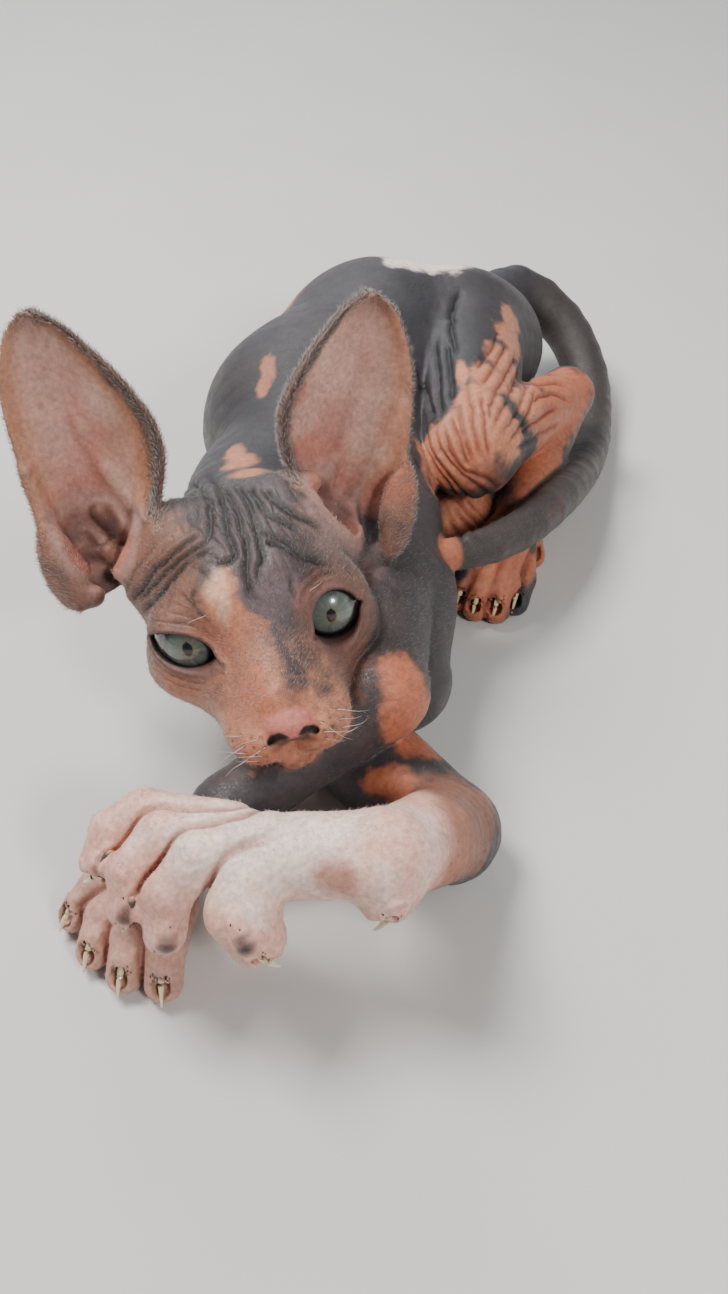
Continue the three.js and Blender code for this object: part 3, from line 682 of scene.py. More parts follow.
def normals_of(points, tris):
    a, b, c = (points[tris[:, i]] for i in range(3))
    face = np.cross(b - a, c - a)
    out = np.empty_like(points)
    for i in range(3):
        out[:, i] = np.bincount(tris.ravel(), np.repeat(face[:, i], 3), len(points))
    return out / np.maximum(np.linalg.norm(out, axis=1, keepdims=True), 1e-12)


# Noise, soft patches and curves


def lattice(ix, iy, iz, seed):
    """A number from -1 to 1 for each corner of a lattice, always the same one."""
    h = ix * 374761393 + iy * 668265263 + iz * 2147483647 + seed * 1274126177
    h = (h ^ (h >> 13)) * 1274126177
    return ((h ^ (h >> 16)) & 0xFFFF) / 32767.5 - 1


def noise(points, scale, seed=0):
    """Smooth noise from -1 to 1, one bump to each scale."""
    p = points / scale + 1000
    base = np.floor(p).astype(np.int64)
    f = p - base
    f = f * f * (3 - 2 * f)
    total = 0
    for i in (0, 1):
        for j in (0, 1):
            for k in (0, 1):
                weight = np.abs(1 - i - f[:, 0]) * np.abs(1 - j - f[:, 1]) * np.abs(1 - k - f[:, 2])
                total = total + weight * lattice(base[:, 0] + i, base[:, 1] + j, base[:, 2] + k, seed)
    return total


def smoothstep(x, a, b):
    t = np.clip((x - a) / (b - a), 0, 1)
    return t * t * (3 - 2 * t)


RAY_START = 90.0
RAY_STEPS = 160


def hit(u, v):
    """Where rays through pixels of the photo meet the skin."""
    ray = photo_ray(u, v)
    t = np.full(len(ray), RAY_START)
    for _ in range(RAY_STEPS):
        value, _ = sample(to_grid(EYE_POINT + ray * t[:, None]))
        t += np.clip(value * 0.8, -2, 4)
    return EYE_POINT + ray * t[:, None]


def patch(points, centre, radii, soft=0.3, ragged=0.3, grain=4.0, seed=1):
    """1 inside an ellipsoid and 0 outside, with a ragged soft edge."""
    r = np.broadcast_to(np.asarray(radii, float), (3,))
    far = np.linalg.norm((points - np.asarray(centre)) / r, axis=1)
    mask = np.zeros(len(points))
    close = far < 1.7 + soft
    edge = far[close] + ragged * noise(points[close], grain, seed)
    edge += 0.6 * ragged * noise(points[close], grain / 3, seed + 1)
    mask[close] = 1 - smoothstep(edge, 1 - soft, 1 + soft)
    return mask


# The skin's mesh, finest on the face and where the photo shows close folds

# Folds drawn in pixels of the photo: on the forehead they run from the crown down to the bridge
FOREHEAD = [
    [(168, 492), (180, 496), (185, 507), (181, 516), (168, 525), (152, 538)],
    [(174, 486), (194, 493), (200, 508), (197, 522), (184, 536), (165, 551), (146, 574)],
    [(190, 481), (206, 492), (210, 508), (210, 527), (203, 542), (180, 557), (156, 582), (134, 606)],
    [(204, 474), (217, 486), (222, 500), (225, 517), (227, 534), (234, 548), (233, 558), (221, 565),
     (206, 562)],
    [(221, 485), (232, 500), (238, 514), (241, 529), (246, 544), (246, 566), (249, 588), (256, 605)],
    [(234, 483), (245, 496), (252, 510), (254, 523), (259, 539), (263, 555), (259, 572), (258, 590)],
    [(248, 485), (259, 501), (271, 514), (286, 522), (300, 532)],
    [(261, 487), (275, 500), (291, 511), (309, 521), (325, 535)],
    [(254, 526), (270, 533), (289, 542), (305, 556), (328, 566)],
    [(266, 542), (281, 544), (295, 553), (310, 564)],
    [(211, 548), (190, 559), (174, 576), (156, 598), (142, 612)],
    [(200, 532), (179, 548), (155, 570), (138, 594), (125, 607)],
    [(185, 518), (165, 535), (143, 560), (127, 585), (117, 598)],
]
FACE_LINES = [
    [(300, 607), (303, 592), (314, 578), (330, 571), (348, 576)],
    [(296, 590), (306, 576), (322, 565), (344, 566)],
    [(293, 575), (292, 590), (297, 604)],
    [(362, 596), (365, 612), (362, 630), (354, 644)],
    [(369, 600), (371, 618), (366, 636), (355, 652)],
    [(322, 650), (338, 652), (352, 646)],
    [(196, 588), (192, 600), (198, 612)],
    [(176, 588), (190, 604), (205, 620), (218, 640)],
    [(340, 548), (352, 560), (364, 572)],
    [(330, 556), (346, 568), (358, 582)],
]
FLANK = [
    [(461, 289), (453, 310), (452, 332), (458, 356)],
    [(446, 340), (450, 372), (452, 404)],
    [(434, 338), (437, 378), (440, 418)],
    [(418, 368), (426, 396), (433, 418)],
    [(410, 390), (419, 412)],
    [(425, 425), (430, 452), (450, 479), (477, 508), (486, 522)],
    [(434, 425), (440, 450), (458, 471), (482, 490), (494, 502)],
    [(443, 426), (450, 452), (464, 471), (485, 479), (497, 488)],
    [(450, 417), (460, 444), (469, 468)],
    [(458, 400), (462, 428), (472, 466)],
    [(468, 383), (474, 417), (477, 444), (485, 466)],
    [(482, 394), (485, 417), (488, 444), (493, 460)],
    [(418, 434), (432, 463), (448, 485), (466, 511), (483, 529)],
    [(409, 450), (431, 484), (448, 508)],
    [(444, 512), (458, 533), (473, 545)],
    [(450, 498), (463, 519), (478, 538)],
    [(517, 354), (504, 380), (493, 401), (488, 428)],
    [(520, 366), (512, 391), (499, 417), (490, 434)],
    [(529, 379), (520, 407), (507, 428), (496, 444)],
    [(537, 390), (528, 415), (515, 436), (508, 448)],
    [(531, 384), (557, 383), (569, 388)],
    [(531, 401), (552, 394), (570, 401)],
    [(520, 434), (541, 418), (558, 407)],
    [(514, 452), (536, 437), (562, 424)],
    [(508, 343), (496, 366), (480, 388)],
    [(500, 330), (490, 352), (474, 372)],
]

place, quads = surface_net()
place = relaxed(place, quads)
Q = np.stack(to_head(from_grid(place).T), 1)
facing = (Q[:, 1] > -30) & (np.abs(Q[:, 0]) < 26) & (Q[:, 2] > -24) & (Q[:, 2] < 26)
facing |= (Q[:, 1] > -8) & (Q[:, 2] > -30)


def laid(lines):
    """Lines of photo pixels, laid on the skin."""
    out = []
    for line in lines:
        path = dense(line, 1.5)
        spots = hit(path[:, 0], path[:, 1])
        gap = np.linalg.norm(np.diff(spots, axis=0), axis=1)
        keep = np.concatenate([[True], gap < 6])
        path = dense(spots[keep][::2], 0.35)
        sway = np.stack([noise(path, 2.6, seed) for seed in (91, 92, 93)], 1)
        out.append(path + 0.4 * sway)
    return out


forehead, face_lines, flank = laid(FOREHEAD), laid(FACE_LINES), laid(FLANK)


def close_to(points, curves, reach):
    """Which points lie within reach of the curves."""
    mark = np.zeros(len(points), bool)
    for curve in curves:
        low, high = curve.min(0) - reach, curve.max(0) + reach
        some = np.flatnonzero(((points > low) & (points < high)).all(1) & ~mark)
        for start in range(0, len(some), CHUNK):
            part = some[start : start + CHUNK]
            far = np.linalg.norm(points[part][:, None] - curve[None, ::4], axis=2).min(1)
            mark[part[far < reach]] = True
    return mark


fine = close_to(from_grid(place), flank, 2.2) | facing
place, quads, many = split(place, quads, fine[quads].all(1))
for _ in range(2):
    place = on_surface(place)
P = from_grid(place)
TRIS = fans(quads, many)
N = normals_of(P, TRIS)
print("skin", len(P), "vertices", len(quads), "quads", vol.shape)

press = np.zeros(len(P))


def crease(curve, depth, width, fade=0.2):
    """Presses a fold along a curve on the skin: sharp below, round at its banks."""
    low, high = curve.min(0) - width, curve.max(0) + width
    some = np.flatnonzero(((P > low) & (P < high)).all(1))
    along = np.linspace(0, 1, len(curve))
    deep = smoothstep(np.minimum(along, 1 - along), 0, fade) * 0.8 + 0.2
    for start in range(0, len(some), CHUNK):
        part = some[start : start + CHUNK]
        far = np.linalg.norm(P[part][:, None] - curve[None], axis=2)
        far = np.sqrt(far**2 + 0.02) / width
        bank = (1 - np.sqrt(np.clip(1 - (1 - np.minimum(far, 1)) ** 2, 0, 1))) ** 0.7
        press[part] = np.maximum(press[part], depth * (bank * deep).max(1))


def folds(centre, radii, along, spacing, depth, seed, warp=0.35):
    """Presses rows of folds across a direction, inside a soft ellipsoid."""
    centre, along = np.array(centre, float), unit(np.array(along, float))
    far = np.linalg.norm((P - centre) / np.array(radii, float), axis=1)
    some = np.flatnonzero(far < 1.5)
    p = P[some]
    phase = (p - centre) @ along / spacing + warp * noise(p, spacing * 4, seed)
    phase += 0.12 * noise(p, spacing * 1.5, seed + 7)
    valley = 1 - np.sqrt(np.abs(np.sin(np.pi * phase)) * 0.97 + 0.03)
    here = np.exp(-1.6 * far[some] ** 2) * (0.75 + 0.4 * noise(p, spacing * 3, seed + 11))
    press[some] = np.maximum(press[some], depth * valley * np.clip(here, 0, 1) * 1.6)


# Depth, width and fade of the creases. The first lines of the flank are the deep ones
FOREHEAD_FOLD = (1.55, 2.1, 0.12)
FACE_FOLD = (0.7, 1.5, 0.3)
DEEP_FOLD, DEEP_LINES = (1.7, 2.4, 0.15), 5
FLANK_FOLD = (1.3, 1.9, 0.15)
LIP_FOLD = (1.1, 1.3, 0.05)
# Rows of folds: middle, radii, direction across them, spacing, depth, seed, then any other warp
FOLD_ROWS = [
    (on_head((0, -12, 20)), (19, 16, 13), HEAD[0] + 0.25 * HEAD[1], 2.4, 0.75, 33, 0.9),
    (on_head((19, -14, 8)), (9, 13, 10), HEAD[0] + HEAD[2], 2.8, 0.5, 34, 0.5),
    (on_head((22, -12, -4)), (8, 10, 10), HEAD[1] - 0.6 * HEAD[2], 3.0, 0.45, 35, 0.5),
    (on_head((-20, -16, -14)), (9, 12, 9), HEAD[1] - 0.8 * HEAD[2], 3.2, 0.5, 36, 0.5),
    (on_head((15, -12, -17)), (9, 12, 8), HEAD[1] - 0.8 * HEAD[2], 3.2, 0.4, 37, 0.5),
    ((-26, 212, 44), (24, 20, 22), (0.15, 1, -0.15), 4.4, 0.75, 3),
    ((-2, 206, 36), (20, 20, 22), (0.5, 0.9, 0.1), 4.0, 0.7, 5),
    ((2, 232, 42), (16, 20, 20), (0.2, 1, 0), 4.6, 0.5, 6),
    ((-28, 248, 44), (20, 22, 16), (0, 1, 0.1), 5.5, 0.35, 8),
    ((4, 172, 32), (13, 14, 13), (-0.4, 1, 0.3), 3.2, 0.5, 9),
    ((-30, 146, 19), (10, 10, 10), (0.8, 0.6, 0.4), 2.8, 0.4, 10),
    ((19, 146, 14), (14, 14, 14), (0.4, 0.7, -0.6), 3.2, 0.45, 11),
    ((4, 121, 40), (12, 12, 12), (1, 0, 0.1), 2.8, 0.35, 12),
    ((36, 338, 33), (18, 14, 14), (0.8, 0.5, 0), 3.6, 0.45, 13),
    ((60, 293, 29), (11, 12, 12), (0.3, -0.9, -0.3), 2.6, 0.55, 14),
    ((50, 262, 22), (9, 12, 10), (0.4, 1, 0.3), 2.6, 0.4, 15),
    ((55, 300, 9), (11, 12, 8), (0.3, -0.9, 0), 2.6, 0.45, 16),
    ((24, 262, 14), (12, 14, 12), (0.6, 0.8, 0), 3.0, 0.5, 17),
    ((22, 300, 40), (14, 24, 16), (1, 0.1, 0.2), 3.4, 0.35, 18),
    ((-42, 280, 22), (16, 40, 20), (0.2, 0.1, 1), 6.5, 0.3, 19, 0.6),
    ((18, 240, 18), (12, 16, 14), (0.9, 0.4, 0.2), 3.0, 0.6, 20),
    ((-44, 222, 30), (14, 24, 24), (-0.1, 1, 0.35), 5.0, 0.55, 22),
    ((-38, 308, 26), (20, 26, 24), (0.5, 0.8, 0.4), 5.5, 0.45, 23),
]

for curve in forehead:
    crease(curve, *FOREHEAD_FOLD)
for curve in face_lines:
    crease(curve, *FACE_FOLD)
for number, curve in enumerate(flank):
    crease(curve, *(DEEP_FOLD if number < DEEP_LINES else FLANK_FOLD))
for row in FOLD_ROWS:
    folds(*row)

MOUTH = [
    (0, 25.4, -15), (0.3, 25.2, -17.4), (2.2, 24.2, -19.2), (5.5, 21.6, -20.8),
    (9, 17, -21.2), (12.2, 10.5, -20), (14, 4.5, -18),
]
for side in (-1, 1):
    lips = on_head([(side * x, y, z) for x, y, z in MOUTH])
    crease(dense(lips), *LIP_FOLD)

for line, size in ((RIGHT_DIGITS, 1.0), (LEFT_DIGITS, 0.8), (LEFT_TOES, 0.8), (RIGHT_TOES, 0.8)):
    for digit in line:
        for joint, before in zip(digit[1:], digit[:-1]):
            lean = np.subtract(joint[:3], before[:3])
            folds(joint[:3], [joint[3] * 1.15] * 3, lean, 2.3, 0.3 * size, 21)

# Gaps between neighbouring digits
for digits in (RIGHT_DIGITS[:4], LEFT_DIGITS[:4], LEFT_TOES, RIGHT_TOES):
    some = np.flatnonzero(np.linalg.norm(P - np.array(digits[1][1][:3]), axis=1) < 26)
    nearest = np.sort([chain(P[some].T, digit, 1.5) for digit in digits], axis=0)
    between = 1 - smoothstep(nearest[1] - nearest[0], 0.2, 1.5)
    between *= 1 - smoothstep(nearest[0], 0.8, 2.5)
    press[some] = np.maximum(press[some], 0.8 * between)

# The rims of the lids, a rounded edge with rings of folds beyond it, deepest on the head's right side
swell = np.zeros(len(P))
Q = np.stack(to_head(P.T), 1)
rims = {}
outer = smoothstep(Q[:, 0], 12, 18)
for side in (-1, 1):
    beyond, out = slit(Q.T, side)
    near_eye = (out > 0.5) & (beyond < 9)
    beyond = np.where(near_eye, beyond, 30)
    rims[side] = beyond
    swell += 0.3 * np.exp(-(((beyond - 0.7) / 0.55) ** 2))
    for far, deep in ((2.2, 0.45), (3.9, 0.35), (5.7, 0.28)):
        ring = np.clip(1 - np.abs(beyond + 0.25 * noise(P, 4, 31) - far) / 0.9, 0, 1)
        press = np.maximum(press, deep * (0.35 + 0.65 * outer) * (1 - np.sqrt(1 - ring**2)))

# The pads of the whiskers, with a row of pits
FOLLICLES = [(6.2 + 1.9 * j, -13.6 - 1.75 * i + 0.25 * j) for i in range(4) for j in range(4)]
follicle_spots = []
front = np.flatnonzero(Q[:, 1] > 3)
for side in (-1, 1):
    for x, z in FOLLICLES:
        far = (Q[front, 0] - side * x) ** 2 + (Q[front, 2] - z) ** 2 - 0.002 * Q[front, 1]
        follicle_spots.append((side, P[front[np.argmin(far)]]))
pits = np.zeros(len(P))
for side, spot in follicle_spots:
    far = np.linalg.norm(P - spot, axis=1)
    pits = np.maximum(pits, np.exp(-((far / 0.42) ** 2)))
    swell += 0.12 * np.exp(-((far / 1.2) ** 2))

on_face = smoothstep(Q[:, 1], -38, -26)
swell += 0.10 * on_face * noise(P, 2.6, 41) * smoothstep(np.minimum(rims[-1], rims[1]), 0.5, 3)
swell += 0.12 * noise(P, 7.0, 42)
P0 = P.copy()
P = P + N * (swell - press - 0.2 * pits)[:, None]
P[:, 2] = np.maximum(P[:, 2], FLOOR_GAP)
N = normals_of(P, TRIS)

# Colours of the skin


def srgb(*c):
    c = np.array(c) / 255
    return np.where(c <= 0.04045, c / 12.92, ((c + 0.055) / 1.055) ** 2.4)


SLATE = srgb(46, 46, 52)
UMBER = srgb(74, 59, 54)
TAIL_GREY = srgb(58, 51, 49)
PEACH = srgb(188, 122, 92)
ORANGE = srgb(176, 102, 72)
TAN = srgb(124, 84, 68)
PALE = srgb(240, 208, 184)
WHITE = srgb(238, 226, 218)
PINK = srgb(226, 176, 158)
ROSE = srgb(172, 100, 84)
MAUVE = srgb(88, 74, 77)
DARK = srgb(38, 30, 30)
BLACK = srgb(16, 14, 15)
EAR_PINK = srgb(196, 150, 136)
AMBER = srgb(176, 116, 78)
LID_BROWN = srgb(104, 70, 62)
TEMPLE_GREY = srgb(132, 104, 98)
NOSE_ROSE = srgb(190, 116, 104)
UNDER_NOSE_SHADOW = srgb(52, 30, 27)
FRECKLE = srgb(110, 58, 42)
PIT_BROWN = srgb(70, 44, 38)
IRIS_GREEN = srgb(120, 134, 126)
IRIS_GOLD = srgb(108, 100, 70)
SCLERA_SHADE = srgb(40, 30, 28)
HORN = srgb(226, 208, 168)
HORN_ROOT = srgb(178, 128, 104)
HORN_TIP = srgb(240, 232, 208)
WHISKER = srgb(226, 220, 214)

# Patches of colour: pixels of the photo, each with one radius or three on the skin
SPOTS = {
    "temple": [(150, 570, 13), (130, 600, 11), (172, 596, 8), (120, 560, 9)],
    "brow": [(262, 620, 8), (284, 622, 7), (262, 590, 7), (290, 600, 6)],
    "blaze": [(221, 590, (3.2, 5, 5)), (222, 612, 5), (228, 632, 6), (240, 655, 7.5), (252, 678, 8)],
    "blaze top": [(216, 588, (2.2, 4, 4)), (222, 604, (1.6, 4, 4))],
    "side of the nose": [(205, 636, 4.5), (218, 660, 5.5), (230, 690, 6)],
    "bridge": [(268, 648, 5), (280, 660, 4)],
    "muzzle": [(262, 690, 5), (275, 702, 5)],
    "cheek": [(345, 668, 7), (352, 655, 5)],
    "behind the eye": [(366, 610, 5), (368, 590, 5)],
    "tear mark": [(309, 656, (2.3, 3.4, 4.4))],
    "over the eye": [(318, 585, 3), (304, 600, 3)],
    "below the ear": [(330, 532, 6), (350, 550, 6), (364, 574, 5), (318, 520, 5)],
    "rump": [(420, 263, (10, 9, 6)), (438, 266, (9, 7, 6)), (402, 262, (6, 6, 5))],
    "back": [(268, 370, (2.4, 5, 4)), (264, 386, (2.2, 4, 4))],
    "nape": [(240, 462, (4, 5, 4)), (250, 472, (4, 4, 4)), (236, 452, (2.5, 4, 4))],
    "thigh": [
        (511, 320, (5, 6, 5)), (511, 340, (5.5, 7, 6)), (503, 360, (6, 7, 7)), (493, 378, (7, 7, 7)),
        (487, 400, 8), (470, 405, (5, 8, 8)), (462, 372, (1.6, 6, 6)), (480, 430, 9), (455, 440, 8),
        (436, 440, (5, 5, 6)), (455, 468, 8), (465, 500, 8), (463, 522, (7, 7, 8)), (505, 430, 9),
        (530, 400, 9),
    ],
    "shin": [
        (574, 384, 9), (574, 404, 8), (556, 385, 9), (560, 412, 9), (548, 440, 9), (540, 470, 9),
        (532, 500, 9),
    ],
    "knee": [(470, 500, 9), (460, 525, 8), (478, 470, 8)],
    "hind foot": [(530, 545, 9), (505, 565, 8), (490, 585, 8), (480, 608, 8), (515, 560, 8)],
    "shoulder": [(408, 700, (6, 8, 8)), (412, 722, (7, 8, 8)), (402, 680, (5, 6, 6)), (418, 742, 6)],
    "beside the chin": [(384, 782, (7, 4, 4)), (400, 786, 4)],
    "forearm": [(455, 835, 20), (440, 865, 14), (464, 800, 12), (470, 850, 14)],
    "inner forearm": [(436, 850, 13), (425, 820, 11), (452, 846, 14)],
    "palm": [(338, 880, (5, 4, 4))],
    "digits": [(120, 900, 6), (160, 905, 6), (90, 870, 5)],
}

tint = np.tile(SLATE, (len(P), 1))


def paint(mask, colour):
    global tint
    tint = tint * (1 - mask[:, None]) + colour * mask[:, None]


def paint_at(name, colour, strength=1.0, soft=0.3):
    """One colour on the patches of this name, joined up."""
    total = np.zeros(len(P))
    for u, v, radii in SPOTS[name]:
        total = np.maximum(total, patch(P0, hit(u, v)[0], radii, soft))
    paint(total * strength, colour)


brown = 0.5 + 0.5 * noise(P0, 14, 51)
paint(0.35 * brown, UMBER)

# Head
paint(0.55 * smoothstep(Q[:, 1], -40, -20) * patch(P0, on_head((0, -5, 0)), 36, 0.4), UMBER)
paint_at("temple", TAN, 0.75, 0.5)
paint(patch(P0, on_head((19, -4, -13)), (13, 17, 13), 0.5), TAN)
paint(0.8 * patch(P0, on_head((20, 0, -13)), (9, 12, 8), 0.6), PEACH)
paint_at("brow", MAUVE, 0.75, 0.5)
paint(patch(P0, on_head((1, 15, -16)), (15, 15, 12), 0.35), PEACH)
paint_at("blaze", PEACH, 0.95)
# Paler at the top of the blaze: pale skin with a painted highlight
paint_at("blaze top", PALE, 0.4, 0.6)
paint_at("side of the nose", ORANGE, 0.55, 0.5)
paint_at("bridge", UMBER, 0.35, 0.7)
paint_at("muzzle", ORANGE, 0.5, 0.6)
paint_at("cheek", TAN, 0.7, 0.5)
paint_at("behind the eye", TAN, 0.6, 0.5)
paint_at("tear mark", DARK, 0.8, 0.4)
paint_at("over the eye", ROSE, 0.3, 0.6)
for side in (-1, 1):
    paint(0.5 * smoothstep(rims[side], 7, 2.5), TAN)
    wall = smoothstep(rims[side], 1.3, 0.6)
    paint(wall, LID_BROWN)
    paint(wall * smoothstep(to_ball(Q.T, side) - EYE_RADIUS, 1.15, 0.6), BLACK)

paint_at("below the ear", TEMPLE_GREY, 0.6, 0.6)

# The nose: leather, with painted shade in and round the nostrils and a painted shadow below them
paint(patch(P0, on_head((0, 23.5, -12.3)), (5.6, 4.4, 3.4), 0.2, 0.05), NOSE_ROSE)
paint(0.9 * patch(P0, on_head((0, 24.6, -16.2)), (4.4, 4, 2.1), 0.4), UNDER_NOSE_SHADOW)
h = to_head(P0.T)
for side in (-1, 1):
    hole = chain([h[0] * side, h[1], h[2]], NOSTRIL, 0.8)
    paint(smoothstep(hole, 0.45, 0.0), BLACK)

# Ears
ear_mask = np.zeros(len(P))
ear_looks = {}
for side in (-1, 1):
    a, s, n, tall = ear_place(P0.T, side)
    low, high, middle, lean = ear_sheet(a, s)
    on_ear = smoothstep(np.abs(n - middle) * lean, 3.2, 1.6) * smoothstep(a, -0.05, 0.12)
    on_ear *= (s > low - 2) & (s < high + 2) & (a < 1.06)
    ear_mask = np.maximum(ear_mask, on_ear)
    inner = smoothstep((n - middle) * lean, 0.05, 0.35)
    w = (s - low) / (high - low)
    up = np.clip(a, 0, 1)
    back = on_ear * (1 - inner)
    paint(back, UMBER)
    paint(back * 0.5 * (0.5 + 0.5 * noise(P0, 5, 61)), SLATE)
    cup = on_ear * inner
    paint(cup, EAR_PINK)
    paint(cup * 0.75 * smoothstep(0.7 * noise(P0, 7, 62) - 1.5 * up + 0.9, -0.1, 0.8), ROSE)
    paint(cup * 0.5 * smoothstep(noise(P0, 11, 64), 0.0, 0.6), PALE * 0.8)
    paint(cup * 0.6 * smoothstep(up, 0.78, 1.0), TAN)
    paint(cup * 0.65 * smoothstep(w, 0.74, 0.98), AMBER)
    paint(cup * 0.8 * smoothstep(w, 0.34, 0.12) * (side > 0), AMBER)
    # Painted shade along the inner edge of the ear's cup
    inner_edge_shade = cup * smoothstep(w + 0.04 * noise(P0, 3, 63), 0.17, 0.06)
    paint(inner_edge_shade * 0.9, DARK * 1.6)
    paint(on_ear * smoothstep(np.abs(2 * w - 1), 0.93, 1.02) * 0.6, TAN)
    t = np.array([a * tall, s, n])
    lobe = smoothstep(egg(t, *EAR_FORMS[side]["lobe"]), 1.6, 0.2)
    paint(lobe, TAN)
    paint(lobe * smoothstep(t[0], 2, 9) * 0.8, ORANGE)
    paint(lobe * smoothstep(noise(P0, 3.2, 67), 0.0, 0.5) * 0.5, UMBER)
    ear_looks[side] = (a, w, on_ear, inner, lobe)
    # Painted shade in the ear's hollow: darker pink round its mouth, rose further in, which is partly the
    # skin's own colour, and dark at its bottom
    hollow = egg(t, *EAR_FORMS[side]["hollow"])
    paint(smoothstep(hollow, 4.0, 1.2) * (1 - back) * smoothstep(t[2], -9, -7) * 0.9, EAR_PINK * 0.7)
    deep = smoothstep(hollow, 1.2, -0.6) * (1 - back)
    paint(deep * 0.75, ROSE)
    paint(deep * smoothstep(t[2], 1.5, -4.5) * 0.85, DARK)
    for x, y, z, r in EAR_FORMS[side]["knobs"]:
        knob = np.linalg.norm(t.T - (x, y, z - 0.7), axis=1)
        paint(0.6 * smoothstep(knob, r + 1.5, r - 0.4), TAN)

# Trunk and limbs, where the photo shows them
paint_at("rump", WHITE)
paint_at("back", PEACH, 0.9)
paint_at("nape", PEACH)
paint_at("thigh", PEACH)
paint_at("shin", ORANGE)
paint_at("knee", ORANGE, 0.6, 0.5)
paint_at("hind foot", ORANGE)
paint_at("shoulder", ORANGE)
paint_at("beside the chin", ORANGE, 0.9)
paint_at("forearm", TAN)
paint_at("inner forearm", ORANGE, 0.7, 0.6)


def near_digits(digits):
    """1 on the digits of a foot, falling to 0 a little way off them."""
    far = np.full(len(P0), 9.0)
    some = np.linalg.norm(P0 - np.array(digits[0][0][:3]), axis=1) < 95
    for digit in digits:
        far[some] = np.minimum(far[some], chain(P0[some].T, digit, 1.5))
    return smoothstep(far, 2.5, 1.2)


palm = near_digits([[(12, 134, 24, 11), RIGHT_ARM[2], RIGHT_ARM[3]], *RIGHT_DIGITS])
palm *= smoothstep(P0[:, 0] + 0.6 * (40 - P0[:, 2]) + 2 * noise(P0, 5, 66), 24, 14)
paint(palm, PINK)
paint(0.7 * palm * patch(P0, (-14, 122, 42), (26, 14, 8), 0.5), WHITE)
paint_at("palm", ROSE, 0.75, 0.6)
# Painted shade on the dim digits
paint_at("digits", ROSE, 0.25, 0.8)
left_hand = np.maximum(patch(P0, (-50, 124, 6), (18, 18, 9), 0.2, 0.1), near_digits(LEFT_DIGITS))
paint(left_hand, TAN)
paint(left_hand * 0.6, PINK)
paint(near_digits(RIGHT_TOES), ORANGE)
# Painted shade in the sheaths the claws come out of
claw_sheath_shade = np.full(len(P0), 9.0)
for hook in CLAWS.values():
    some = np.linalg.norm(P0 - np.array(hook(0)[:3]), axis=1) < 5
    claw_sheath_shade[some] = np.minimum(claw_sheath_shade[some], chain(P0[some].T, [hook(-0.1), hook(0.25), hook(0.6)], 0.5))
paint(0.85 * smoothstep(claw_sheath_shade, 1.0, 0.5), DARK)

# Sides that the photo doesn't show, guessed: belly, throat, right flank, back and root of the tail
paint(patch(P0, (44, 262, 8), (14, 24, 8), 0.3), ORANGE)
paint(patch(P0, (-34, 178, 24), (12, 14, 12), 0.35), PEACH)
paint(patch(P0, (-46, 250, 10), (10, 18, 12), 0.35), PEACH)
paint(patch(P0, (-22, 312, 44), (6, 9, 8), 0.3), PEACH)
paint(patch(P0, (20, 352, 26), (9, 6, 8), 0.35), ORANGE)


def tail_share(points):
    """How far along the tail each point is, and how close to it."""
    best, share = np.full(len(points), 1e9), np.zeros(len(points))
    for i, (a, b) in enumerate(zip(TAIL, TAIL[1:])):
        a, b = np.array(a), np.array(b)
        d = b[:3] - a[:3]
        t = np.clip((points - a[:3]) @ d / (d @ d), 0, 1)
        far = np.linalg.norm(points - a[:3] - t[:, None] * d, axis=1) - (a[3] + t * (b[3] - a[3]))
        closer = far < best
        best[closer], share[closer] = far[closer], (i + t)[closer]
    return share / (len(TAIL) - 1), best


share, far = tail_share(P0)
on_tail = smoothstep(far, 1.6, 0.3) * smoothstep(share, 0.08, 0.16)
paint(on_tail, TAIL_GREY)
paint(on_tail * smoothstep(share, 0.83, 0.845), ORANGE)

# Mottling, painted shade in the folds, painted highlights on the crests of the brow, freckles and the pits
# of the whiskers
tint *= (1 + 0.10 * noise(P0, 6, 71) + 0.08 * noise(P0, 1.6, 72) + 0.06 * noise(P0, 0.8, 73))[:, None]
light_skin = smoothstep(tint[:, 0], 0.12, 0.4)
# Painted shade in the folds, darker where they are pressed deeper
valley = smoothstep(press, 0.02, 1.3)
warm_shade = np.stack([1 - 0.62 * valley, 1 - 0.84 * valley, 1 - 0.88 * valley], 1)
cool_shade = (1 - 0.86 * valley)[:, None] * np.ones(3)
tint *= np.clip(warm_shade * light_skin[:, None] + cool_shade * (1 - light_skin[:, None]), 0.06, 1)
# Painted highlights on the crests between the folds of the brow
on_brow = smoothstep(Q[:, 2], 1, 10) * smoothstep(Q[:, 1], -36, -26) * (1 - ear_mask)
crest_highlight = on_brow * (1 - smoothstep(press, 0.0, 0.35)) * (0.5 + 0.5 * noise(P0, 5, 76))
crest_highlight = crest_highlight * (1 - 0.85 * light_skin)
tint *= 1 + 0.9 * crest_highlight[:, None] * np.array([1.05, 0.98, 0.95])
freckle = smoothstep(noise(P0, 1.1, 74), 0.55, 0.75) * smoothstep(noise(P0, 7, 75), 0.05, 0.4)
muzzle = patch(P0, on_head((-6, 14, -16)), (13, 13, 11), 0.4)
paint(0.55 * freckle * np.maximum(muzzle, 0.6 * ear_mask), FRECKLE)
paint(0.75 * pits, PIT_BROWN)
tint = np.clip(tint, 0.003, 0.95)

# Materials


def node(tree, kind, inputs=None, **settings):
    made = tree.nodes.new("ShaderNode" + kind)
    for key, value in settings.items():
        setattr(made, key, value)
    for key, value in (inputs or {}).items():
        if isinstance(value, bpy.types.NodeSocket):
            tree.links.new(value, made.inputs[key])
        else:
            made.inputs[key].default_value = value
    return made


